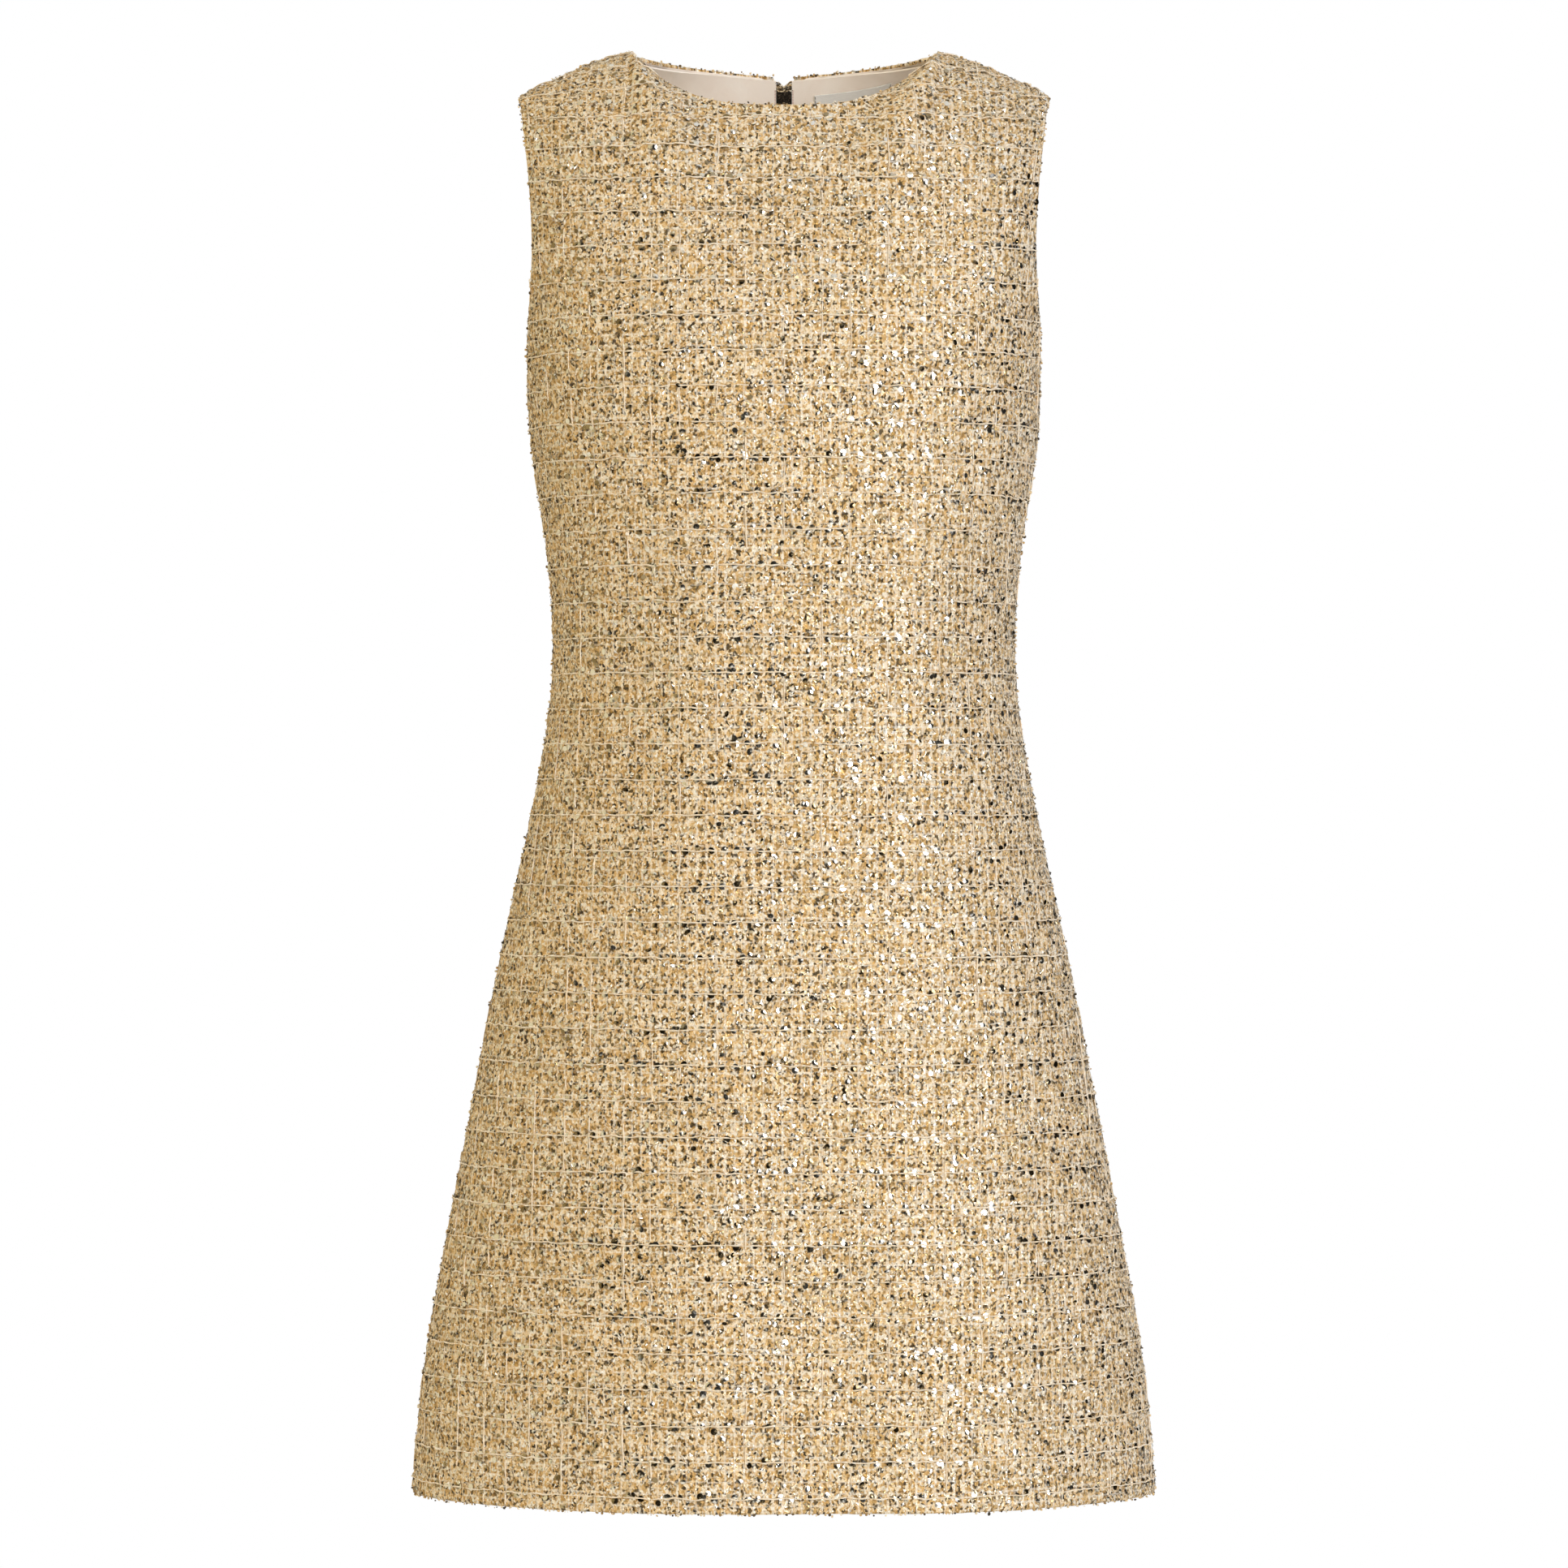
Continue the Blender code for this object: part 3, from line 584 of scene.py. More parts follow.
def tweed_panel(name, panel, rng, materials, *replaced):
    """A panel as a closed shell: yarns outside, lining inside and a soft, uneven edge."""
    relief = yarn_relief(panel, rng)[..., None]
    pattern, faces, loop = cut_lattice(panel)
    u, v = pattern.T
    fade = smooth(panel.inside(u, v) / (2 * STEP_U))
    outer = panel.at(u, v, panel.sample(relief, u, v)[:, 0] * (0.35 + 0.65 * fade))
    coarse, inner_faces, inner_loop = cut_lattice(panel, COARSE)
    inner = panel.at(*coarse.T, -CLOTH)
    edge_u, edge_v = u[loop], v[loop]
    middle = panel.at(edge_u, edge_v, -CLOTH / 2)
    forward = unit(np.roll(middle, -1, 0) - np.roll(middle, 1, 0))
    outward = np.cross(forward, panel.sample(panel.normal, edge_u, edge_v)) * panel.out
    free = panel.free_edge(edge_u, edge_v)
    bulge = (0.55 + 0.5 * blur(rng.random(len(loop)), 0)) * MM
    middle = middle + unit(outward) * (bulge * free)[:, None]
    count, rim = len(outer), len(middle)
    ring = list(range(count, count + rim))
    faces_of_rim = [[b, a, c, d] for a, b, c, d in
                    zip(loop, loop[1:] + loop[:1], ring, ring[1:] + ring[:1])]
    shift = count + rim
    far_loop = [k + shift for k in inner_loop]
    closing = zip_up(ring, far_loop, pattern[loop], coarse[inner_loop])
    inside = [[k + shift for k in face[::-1]] for face in inner_faces]
    tweed = [0] * (len(faces) + len(faces_of_rim) + len(closing))
    heights = [coarse[face].mean(0)[1] for face in inner_faces]
    lined = [int(height > HEM + HEM_TURNUP) for height in heights]
    every = faces + faces_of_rim + closing + inside
    if panel.out < 0:
        every = [face[::-1] for face in every]
    points = np.concatenate([outer, middle, inner])
    mesh = make_mesh(name, points, every, np.concatenate([pattern, pattern[loop], coarse]),
                     tweed + lined)
    panel.edge = (middle, unit(outward), free)
    return show(name, mesh, materials, "dress", "tweed", *replaced)


def wall(name, outer, inner, uv):
    """A closed sheet between two skins of matching rows."""
    rows, columns = outer.shape[:2]
    number = np.arange(rows * columns).reshape(rows, columns)
    cells = np.stack([number[:-1, :-1], number[:-1, 1:], number[1:, 1:], number[1:, :-1]], -1)
    cells = cells.reshape(-1, 4)
    faces = cells.tolist() + (cells[:, ::-1] + rows * columns).tolist()
    rim = np.concatenate([number[0, :-1], number[:-1, -1], number[-1, :0:-1], number[:0:-1, 0]])
    for a, b in zip(rim, np.roll(rim, -1)):
        faces.append([int(b), int(a), int(a) + rows * columns, int(b) + rows * columns])
    points = np.concatenate([outer.reshape(-1, 3), inner.reshape(-1, 3)])
    mesh = make_mesh(name, points, faces, np.tile(uv.reshape(-1, 2), (2, 1)))
    reshaped(mesh, lambda bm: bmesh.ops.recalc_face_normals(bm, faces=bm.faces))
    mesh.set_sharp_from_angle(angle=math.radians(60))
    return mesh


# ---- graphs of nodes ----------------------------------------------------------------------
class Value:
    """A socket that can be used in sums; each operator adds a Math node to its graph."""

    def __init__(self, graph, socket):
        self.graph, self.socket = graph, socket

    def math(self, operation, *others, clamp=False):
        values = dict(enumerate((self,) + others))
        return self.graph.node("ShaderNodeMath", {"operation": operation, "use_clamp": clamp},
                               values)

    def __add__(self, other):
        return self.math("ADD", other)

    def __sub__(self, other):
        return self.math("SUBTRACT", other)

    def __rsub__(self, other):
        return self.graph.node("ShaderNodeMath", {"operation": "SUBTRACT"}, {0: other, 1: self})

    def __mul__(self, other):
        return self.math("MULTIPLY", other)

    def __truediv__(self, other):
        return self.math("DIVIDE", other)

    __radd__, __rmul__ = __add__, __mul__


class Graph:
    """A tree of shader or geometry nodes under construction."""

    def __init__(self, tree):
        self.tree = tree

    def node(self, kind, settings=None, values=None, out=0):
        """Add a node: its settings first, then its sockets' values or links."""
        made = self.tree.nodes.new(kind)
        for name, setting in (settings or {}).items():
            if name == "stops":
                ramp = made.color_ramp
                while len(ramp.elements) < len(setting):
                    ramp.elements.new(0.5)
                for element, (place, colour) in zip(ramp.elements, setting):
                    element.position = place
                    element.color = (*colour, 1.0)
            else:
                setattr(made, name, setting)
        for name, value in (values or {}).items():
            socket = made.inputs[name]
            if isinstance(value, Value):
                self.tree.links.new(value.socket, socket)
            elif isinstance(value, tuple) and len(value) == 3 and socket.type == "RGBA":
                socket.default_value = (*value, 1.0)
            else:
                socket.default_value = value
        return Value(self, made.outputs[out])

    def between(self, value, low, high):
        """0 below low, 1 above high."""
        return self.node("ShaderNodeMapRange", {}, {"Value": value, "From Min": low,
                                                    "From Max": high})

    def split(self, vector, axis):
        """One part of a vector."""
        return self.node("ShaderNodeSeparateXYZ", {}, {0: vector}, axis)


class Look(Graph):
    """A material: constants go on the shader's sockets, the rest comes through links."""

    def __init__(self, name, **constants):
        self.material = bpy.data.materials.new(name)
        self.material.use_nodes = True
        super().__init__(self.material.node_tree)
        self.shader = self.tree.nodes["Principled BSDF"]
        for socket, value in constants.items():
            self.set(socket.replace("_", " ").title().replace("Ior", "IOR"), value)

    def set(self, socket, value):
        target = self.shader.inputs[socket]
        if isinstance(value, Value):
            self.tree.links.new(value.socket, target)
        elif isinstance(value, tuple):
            target.default_value = (*value, 1.0)
        else:
            target.default_value = value

    def scaled(self, vector, scale):
        return self.node("ShaderNodeVectorMath", {"operation": "SCALE"},
                         {"Vector": vector, "Scale": scale})

    def flat(self):
        """The cloth's pattern, u and v in millimetres."""
        return self.scaled(self.node("ShaderNodeUVMap", {"uv_map": "pattern"}), 1 / MM)

    def place(self):
        """The piece's own coordinates in millimetres."""
        return self.scaled(self.node("ShaderNodeTexCoord", out="Object"), 1 / MM)

    def shade(self):
        """The shade that each scattered shape carries, 0 to 1."""
        return self.node("ShaderNodeAttribute", {"attribute_name": "shade"}, out=2)

    def stretched(self, vector, scale):
        """A pattern's coordinates with a scale of their own on each axis."""
        return self.node("ShaderNodeMapping", {}, {"Vector": vector, "Scale": scale})

    def noise(self, vector, per_mm, detail=2.0, rough=0.5, out="Fac"):
        return self.node("ShaderNodeTexNoise", {}, {"Vector": vector, "Scale": per_mm,
                                                    "Detail": detail, "Roughness": rough}, out)

    def cells(self, vector, per_mm, channel):
        """One random number for each cell."""
        made = self.node("ShaderNodeTexVoronoi", {}, {"Vector": vector, "Scale": per_mm}, "Color")
        return self.node("ShaderNodeSeparateColor", {}, {0: made}, channel)

    def mix(self, factor, a, b, how="MIX"):
        """Colours a and b mixed by a factor."""
        made = self.tree.nodes.new("ShaderNodeMix")
        made.data_type, made.blend_type = "RGBA", how
        for socket, value in ((made.inputs[0], factor), (made.inputs[6], a), (made.inputs[7], b)):
            if isinstance(value, Value):
                self.tree.links.new(value.socket, socket)
            else:
                socket.default_value = (*value, 1.0) if isinstance(value, tuple) else value
        return Value(self, made.outputs[2])

    def ramp(self, factor, *stops):
        """The colour of a factor between stops, each a place and a colour."""
        return self.node("ShaderNodeValToRGB", {"stops": stops}, {"Fac": factor})

    def stripes(self, value):
        """0 to 1 and back for each whole number."""
        return value.math("PINGPONG", 0.5) * 2.0

    def bump(self, height, strength, distance):
        self.set("Normal", self.node("ShaderNodeBump", {}, {
            "Height": height, "Strength": strength, "Distance": distance}))


def tree_of(name, inputs):
    """A geometry tree with named inputs, and its first nodes."""
    tree = bpy.data.node_groups.new(name, "GeometryNodeTree")
    tree.interface.new_socket(name="Geometry", in_out="OUTPUT", socket_type="NodeSocketGeometry")
    for label, kind in [("Geometry", "NodeSocketGeometry")] + inputs:
        tree.interface.new_socket(name=label, in_out="INPUT", socket_type=kind)
    graph = Graph(tree)
    start = tree.nodes.new("NodeGroupInput")
    return graph, {item: Value(graph, start.outputs[item])
                   for item in ["Geometry"] + [label for label, _ in inputs]}


def close_tree(graph, geometry, material):
    """End a tree in real meshes with their material."""
    real = graph.node("GeometryNodeRealizeInstances", {}, {"Geometry": geometry})
    painted = graph.node("GeometryNodeSetMaterial", {}, {"Geometry": real, "Material": material})
    end = graph.tree.nodes.new("NodeGroupOutput")
    graph.tree.links.new(painted.socket, end.inputs[0])
    return graph.tree


def attribute(graph, name, kind="FLOAT_VECTOR"):
    return graph.node("GeometryNodeInputNamedAttribute", {"data_type": kind}, {"Name": name})


WHOLE, LENGTH, VECTOR, MATERIAL = (
    "NodeSocketInt", "NodeSocketFloat", "NodeSocketVector", "NodeSocketMaterial")
SHAPES = {
    "disc": [("Sides", WHOLE), ("Radius", LENGTH), ("Cup", LENGTH)],
    "nub": [("Radius", LENGTH)],
    "block": [("Size", VECTOR)],
    "thread": [("Sides", WHOLE), ("Radius", LENGTH), ("Length", LENGTH)],
}
TREES = {}


def small_shape(graph, shape, given):
    """One small shape of each kind, which its tree repeats."""
    if shape == "disc":
        return graph.node("GeometryNodeMeshCone", {"fill_type": "NGON"}, {
            "Vertices": given["Sides"], "Radius Top": 0.0, "Radius Bottom": given["Radius"],
            "Depth": given["Cup"]})
    if shape == "nub":
        return graph.node("GeometryNodeMeshIcoSphere", {}, {"Radius": given["Radius"],
                                                            "Subdivisions": 1})
    if shape == "block":
        return graph.node("GeometryNodeMeshCube", {}, {"Size": given["Size"]})
    rod = graph.node("GeometryNodeMeshCylinder", {"fill_type": "TRIANGLE_FAN"}, {
        "Vertices": given["Sides"], "Radius": given["Radius"], "Depth": given["Length"],
        "Side Segments": 3})
    return graph.node("GeometryNodeTransform", {}, {"Geometry": rod,
                                                    "Rotation": (0.0, math.pi / 2, 0.0)})


def scatter_tree(name, shape):
    """Puts one small shape on each point, turned to face and along, and sized."""
    graph, given = tree_of(name, SHAPES[shape] + [("Material", MATERIAL)])
    turned = graph.node("FunctionNodeAxesToRotation",
                        {"primary_axis": "Z", "secondary_axis": "X"},
                        {0: attribute(graph, "facing"), 1: attribute(graph, "along")})
    placed = graph.node("GeometryNodeInstanceOnPoints", {}, {
        "Points": given["Geometry"], "Instance": small_shape(graph, shape, given),
        "Rotation": turned, "Scale": attribute(graph, "size")})
    return close_tree(graph, placed, given["Material"])


def tube_tree(name):
    """Turns lines of points into tubes whose radius follows their thickness."""
    graph, given = tree_of(name, [("Sides", WHOLE), ("Material", MATERIAL)])
    line = graph.node("GeometryNodeMeshToCurve", {}, {"Mesh": given["Geometry"]})
    ring = graph.node("GeometryNodeCurvePrimitiveCircle", {}, {"Resolution": given["Sides"],
                                                               "Radius": 1.0})
    tube = graph.node("GeometryNodeCurveToMesh", {}, {
        "Curve": line, "Profile Curve": ring, "Scale": attribute(graph, "thick", "FLOAT"),
        "Fill Caps": True})
    smooth_ = graph.node("GeometryNodeSetShadeSmooth", {}, {"Geometry": tube})
    return close_tree(graph, smooth_, given["Material"])


def grow(name, mesh, tree, inputs):
    """The mesh that a tree makes from a guide mesh."""
    guide = bpy.data.objects.new(name + "_guide", mesh)
    bpy.context.scene.collection.objects.link(guide)
    modifier = guide.modifiers.new("grow", "NODES")
    modifier.node_group = tree
    for item in tree.interface.items_tree:
        if item.in_out == "INPUT" and item.name in inputs:
            modifier[item.identifier] = inputs[item.name]
    graph = bpy.context.evaluated_depsgraph_get()
    result = bpy.data.meshes.new_from_object(guide.evaluated_get(graph), depsgraph=graph)
    result.name = name
    bpy.data.objects.remove(guide)
    return result


def points_mesh(name, points, edges=(), **attributes):
    """A guide mesh: bare points or lines, with the attributes that its tree reads."""
    mesh = bpy.data.meshes.new(name)
    mesh.from_pydata(np.asarray(points).tolist(), list(edges), [])
    for label, values in attributes.items():
        values = np.asarray(values, float)
        kind, field = ("FLOAT_VECTOR", "vector") if values.ndim == 2 else ("FLOAT", "value")
        mesh.attributes.new(label, kind, "POINT").data.foreach_set(field, values.ravel())
    return mesh


def lines_mesh(name, lines, thick, **more):
    """Several lines of points in one guide mesh."""
    edges, first = [], 0
    for line in lines:
        edges += [(k, k + 1) for k in range(first, first + len(line) - 1)]
        first += len(line)
    return points_mesh(name, np.concatenate(lines), edges, thick=np.concatenate(thick), **more)


# ---- materials ----------------------------------------------------------------------------
def tweed_look():
    """Knotty yarns in straw, tan and gold with bright metallic fibre, and painted olive shade
    between the yarns.
    """
    look = Look("tweed", roughness=0.8, sheen_weight=0.15, sheen_roughness=0.5,
                sheen_tint=(1.0, 0.92, 0.78))
    flat = look.flat()
    shift = look.scaled(look.noise(flat, 0.35, 2.0, out="Color"), 1.8)
    bent = look.node("ShaderNodeVectorMath", {"operation": "ADD"}, {0: flat, 1: shift})
    across, along = look.split(bent, 0), look.split(bent, 1)
    # tufts of fibre, each its own colour, with finer specks
    pick = look.cells(look.stretched(bent, (1.0, 0.80, 1.0)), 0.80, 0)
    fibre = look.ramp(pick, (0.00, (0.020, 0.012, 0.004)), (0.12, (0.080, 0.050, 0.012)),
                      (0.18, (0.360, 0.220, 0.062)), (0.32, (0.660, 0.425, 0.155)),
                      (0.50, (0.810, 0.575, 0.290)), (0.64, (0.930, 0.745, 0.480)),
                      (0.80, (1.000, 0.910, 0.770)), (1.00, (1.000, 1.000, 0.970)))
    speck = look.ramp(look.cells(bent, 0.98, 1), (0.0, (0.20, 0.14, 0.06)),
                      (0.16, (0.72, 0.58, 0.36)), (0.5, (0.94, 0.82, 0.62)),
                      (0.8, (1.0, 0.95, 0.86)), (1.0, WHITE))
    colour = look.mix(0.75, fibre, speck, "MULTIPLY")
    # pale upright yarns, painted olive shade between them, pale crossways yarns, browner patches
    warp = look.stripes(across / (WARP / MM))
    yarn = 1.0 - look.between(warp, 0.10, 0.36)
    broken = look.between(look.noise(flat, 0.34, 2.0), 0.40, 0.56)
    colour = look.mix(yarn * broken * 0.66, colour, (1.00, 0.92, 0.80))
    # painted shade: olive-brown mixed into the troughs between the upright yarns, where their
    # relief would shadow
    valley_shade = look.between(warp, 0.62, 1.0) * look.between(look.noise(bent, 0.5, 1.0), 0.46, 0.62)
    colour = look.mix(valley_shade * 0.50, colour, (0.24, 0.165, 0.06))
    weft = look.stripes((along + 1.2) / (PALE_ROW / MM / 3))
    line = (1.0 - look.between(weft, 0.07, 0.26)) * look.between(
        look.noise(look.stretched(flat, (0.4, 1.0, 1.0)), 0.45, 1.0), 0.42, 0.58)
    colour = look.mix(line * 0.60, colour, (1.00, 0.93, 0.82))
    brown = look.between(look.noise(flat, 0.045, 3.0), 0.44, 0.70)
    look.set("Base Color", look.mix(brown * 0.20, colour, (0.62, 0.44, 0.20)))
    metal = look.between(look.cells(bent, 0.95, 2), 0.80, 0.86)
    look.set("Metallic", metal * 0.9)
    look.set("Roughness", 0.82 - metal * 0.52)
    hair = look.noise(look.stretched(bent, (1.0, 0.55, 1.0)), 0.95, 3.0, 0.6)
    look.bump(hair + pick * 0.45, 0.9, 1.1 * MM)
    return look.material


def pale_yarn_look():
    """The cream and rose yarn that runs over the tweed."""
    look = Look("pale_yarn", roughness=0.7, sheen_weight=0.3, sheen_roughness=0.4)
    at = look.place()
    look.set("Base Color", look.ramp(look.noise(at, 0.5, 3.0), (0.25, (0.80, 0.58, 0.34)),
                                     (0.5, (1.00, 0.86, 0.66)), (0.75, (1.00, 0.97, 0.90))))
    look.bump(look.noise(at, 3.0, 2.0), 0.6, 0.3 * MM)
    return look.material


def foil_look(name, polished, per_mm, detail, *shades):
    """Mirror film, a little scratched: each piece of it has its own shade."""
    look = Look(name, metallic=1.0)
    look.set("Base Color", look.ramp(look.shade(), *shades))
    look.set("Roughness", polished + look.noise(look.place(), per_mm, detail) * 0.16)
    return look.material


def sequin_look():
    """Pale gold discs."""
    return foil_look("sequin", 0.08, 1.3, 2.0, (0.0, (0.20, 0.145, 0.075)),
                     (0.25, (0.42, 0.33, 0.19)), (0.5, (0.90, 0.84, 0.70)),
                     (1.0, (0.97, 0.95, 0.90)))


def film_look():
    """Slit film: bright gold, silver and olive."""
    return foil_look("film", 0.16, 2.0, 1.0, (0.0, (0.12, 0.08, 0.03)),
                     (0.35, (0.62, 0.48, 0.23)), (0.65, (0.95, 0.88, 0.70)),
                     (1.0, (0.99, 0.98, 0.95)))


def nub_look():
    """Knots of bouclé yarn, each its own shade."""
    look = Look("nub", roughness=0.8, sheen_weight=0.2, sheen_roughness=0.5)
    look.set("Base Color", look.ramp(
        look.shade(), (0.0, (0.030, 0.018, 0.006)), (0.24, (0.14, 0.085, 0.025)),
        (0.42, (0.66, 0.43, 0.17)), (0.7, (0.94, 0.77, 0.50)), (1.0, (1.0, 0.95, 0.84))))
    look.bump(look.noise(look.place(), 2.4, 2.0), 0.8, 0.5 * MM)
    return look.material


def lining_look():
    """Nude satin: a fine twill with a soft glow and slight unevenness."""
    look = Look("lining", sheen_weight=0.2, sheen_roughness=0.35)
    flat = look.flat()
    look.set("Base Color", look.ramp(look.noise(flat, 0.05, 3.0), (0.3, (0.96, 0.86, 0.77)),
                                     (0.7, (1.0, 0.93, 0.85))))
    ribs = look.stripes(look.split(flat, 0) * 3.1 + look.split(flat, 1) * 3.1)
    look.set("Roughness", 0.42 + look.noise(flat, 0.4, 2.0) * 0.2)
    look.bump(ribs * 0.25 + look.noise(flat, 0.22, 3.0) * 2.0, 0.35, 0.35 * MM)
    return look.material


def label_look():
    """A folded satin label of pale grey threads, with no lettering."""
    look = Look("label", sheen_weight=0.1, sheen_roughness=0.3)
    flat = look.flat()
    threads = look.stripes(look.split(flat, 0) * 3.6) + look.stripes(
        look.split(flat, 1) * 2.6) * 0.6
    grain = look.noise(look.stretched(flat, (0.2, 2.0, 1.0)), 1.2, 2.0)
    look.set("Base Color", look.ramp(grain, (0.3, (0.84, 0.845, 0.83)),
                                     (0.7, (0.95, 0.95, 0.93))))
    look.set("Roughness", 0.40 + grain * 0.2)
    look.bump(threads * 0.5, 0.45, 0.18 * MM)
    return look.material


def tape_look():
    """Black herringbone zip tape."""
    look = Look("zip_tape", sheen_weight=0.25, sheen_roughness=0.4)
    flat = look.flat()
    zigzag = look.stripes(look.split(flat, 0) * 0.45)
    ribs = look.stripes(look.split(flat, 1) * 1.7 + zigzag * 1.6)
    look.set("Base Color", look.ramp(ribs, (0.2, (0.010, 0.009, 0.008)),
                                     (0.9, (0.045, 0.040, 0.036))))
    look.set("Roughness", 0.72 + look.noise(flat, 1.0, 2.0) * 0.2)
    look.bump(ribs, 0.7, 0.25 * MM)
    return look.material


def metal_look(name, plating, bare):
    """Plated metal, rubbed brighter in places."""
    look = Look(name)
    at = look.place()
    rubbed = look.between(look.noise(at, 0.9, 4.0, 0.6), 0.52, 0.72)
    look.set("Base Color", look.mix(rubbed, plating, bare))
    look.set("Metallic", 0.85 + rubbed * 0.15)
    look.set("Roughness", 0.24 + look.noise(at, 2.5, 2.0) * 0.22)
    look.bump(look.noise(at, 4.0, 2.0), 0.2, 0.08 * MM)
    return look.material


def thread_look(name, colour):
    """Polyester sewing thread."""
    look = Look(name, sheen_weight=0.2, sheen_roughness=0.4)
    at = look.place()
    darker = tuple(c * 0.75 for c in colour)
    look.set("Base Color", look.mix(look.noise(at, 2.0, 2.0), darker, colour))
    look.set("Roughness", 0.5 + look.noise(at, 1.0, 1.0) * 0.15)
    look.bump(look.noise(at, 6.0, 1.0), 0.4, 0.1 * MM)
    return look.material


# ---- what lies on the cloth ----------------------------------------------------------------
def tilted(normal, rng, degrees):
    """Normals leant at random."""
    lean = np.tan(np.radians(degrees)) * rng.normal(size=(len(normal), 1))
    side = unit(np.cross(normal, unit(rng.normal(size=normal.shape))))
    return unit(normal + side * lean)


def pale_rows(panel):
    """Heights of the crossways yarns that carry sequins."""
    first = HEM - STEP_V / 2 + 4 * STEP_V
    return np.arange(first, panel.v[-1], PALE_ROW)


def row_span(panel, v, margin):
    """The stretches of a row that lie on the panel."""
    u = np.arange(panel.u[0], panel.u[-1], STEP_U / 2)
    keep = panel.inside(u, np.full(len(u), v)) > margin
    edges = np.flatnonzero(np.diff(np.concatenate([[0], keep.astype(int), [0]])))
    return [(u[a], u[b - 1]) for a, b in edges.reshape(-1, 2) if b - a > 8]


def threaded(panel, rng):
    """Places of the sequins that each pale row carries: its height, its span and their u."""
    rows = []
    for v in pale_rows(panel):
        for low, high in row_span(panel, v, 0.5 * MM):
            steps = rng.uniform(5.5, 12.0, int((high - low) / (5.5 * MM)) + 2)
            u = low + np.cumsum(steps) * MM
            crowd = np.interp(u, np.linspace(low, high, 12), rng.uniform(0.25, 1.25, 12))
            rows.append((v, low, high, u[(u < high - 1 * MM) & (rng.random(len(u)) < crowd)]))
    return rows


def pale_yarns(panel, rows, rng, material):
    """Cream yarns over the tweed: across it, holding the sequins down, and up it."""
    lines, thick = [], []
    near_disc, over_disc = 2.2 * MM, 1.15 * MM
    for v, low, high, discs in rows:
        u = np.arange(low, high, STEP_U * 1.2)
        over = blur(blur(rng.random(len(u)), 0), 0)
        wave = blur(rng.normal(size=len(u)), 0) * 0.55 * MM
        lift = (2.0 * smooth((over - 0.46) / 0.14) - 1.2) * MM
        if len(discs):
            away = np.abs(u[:, None] - discs[None, :]).min(1)
            lift = np.maximum(lift, over_disc * (away < near_disc))
        lines.append(panel.at(u, v + wave, lift))
        thick.append((0.40 + 0.28 * rng.random(len(u))) * MM)
    columns, spacing = [0], cycle((12, 9, 12, 9, 9))
    while columns[-1] * STEP_U < panel.u[-1]:
        columns.append(columns[-1] + next(spacing))
    places = sorted({s * c for c in columns for s in (-1, 1)})
    for u0 in [c * STEP_U for c in places if panel.u[0] <= c * STEP_U <= panel.u[-1]]:
        v = np.arange(HEM + 1 * MM, panel.v[-1], STEP_V * 1.7)
        v = v[panel.inside(np.full(len(v), u0), v) > 0.5 * MM]
        for stretch in np.split(v, np.flatnonzero(np.diff(v) > 3 * STEP_V) + 1):
            if len(stretch) < 6:
                continue
            over = blur(blur(rng.random(len(stretch)), 0), 0)
            wave = blur(rng.normal(size=len(stretch)), 0) * 0.45 * MM
            lift = (1.9 * smooth((over - 0.48) / 0.14) - 1.2) * MM
            lines.append(panel.at(u0 + wave, stretch, lift))
            thick.append((0.32 + 0.26 * rng.random(len(stretch))) * MM)
    guide = lines_mesh("yarns", lines, thick)
    mesh = grow("pale_yarns_" + panel.name, guide, TREES["tube"],
                {"Sides": 3, "Material": material})
    return show(mesh.name, mesh, [material], "dress", "tweed")


def scatter(name, shape, points, facing, along, size, sizes, material, **more):
    """A mesh with one small shape on each point."""
    guide = points_mesh("places", points, facing=facing, along=along, size=size, **more)
    return grow(name, guide, TREES[shape], {**sizes, "Material": material})


def random_places(panel, rng, per_m2):
    """Scattered places on the panel."""
    span_u, span_v = panel.u[-1] - panel.u[0], panel.v[-1] - panel.v[0]
    count = int(span_u * span_v * per_m2)
    u = panel.u[0] + rng.random(count) * span_u
    v = panel.v[0] + rng.random(count) * span_v
    keep = panel.inside(u, v) > 1.2 * MM
    return u[keep], v[keep]


def sequins(panel, rows, rng, material):
    """Cupped discs along the pale rows, and others caught at a slant between them."""
    row_u = np.concatenate([discs for *_, discs in rows])
    row_v = np.concatenate([np.full(len(discs), v) for v, *_, discs in rows])
    row_v = row_v + rng.normal(size=len(row_v)) * 0.9 * MM
    free_u, free_v = random_places(panel, rng, SEQUINS_M2)
    u, v = np.concatenate([row_u, free_u]), np.concatenate([row_v, free_v])
    on_row = np.arange(len(u)) < len(row_u)
    lift = np.where(on_row, 0.45, 0.35 + 0.35 * rng.random(len(u))) * MM
    points = panel.at(u, v, lift)
    normal = panel.sample(panel.normal, u, v)
    facing = np.where(on_row[:, None], tilted(normal, rng, 8), tilted(normal, rng, 13))
    along = unit(rng.normal(size=points.shape))
    wide = np.where(on_row, rng.uniform(0.80, 1.05, len(u)), rng.uniform(0.50, 0.95, len(u)))
    narrow = wide * np.where(on_row, rng.uniform(0.8, 1.0, len(u)), rng.uniform(0.5, 0.9, len(u)))
    mesh = scatter("sequins_" + panel.name, "disc", points, facing, along,
                   np.stack([wide, narrow, wide], -1),
                   {"Sides": 8, "Radius": SEQUIN, "Cup": SEQUIN_CUP}, material,
                   shade=rng.random(len(u)))
    return show(mesh.name, mesh, [material], "dress", "tweed", soft=False)


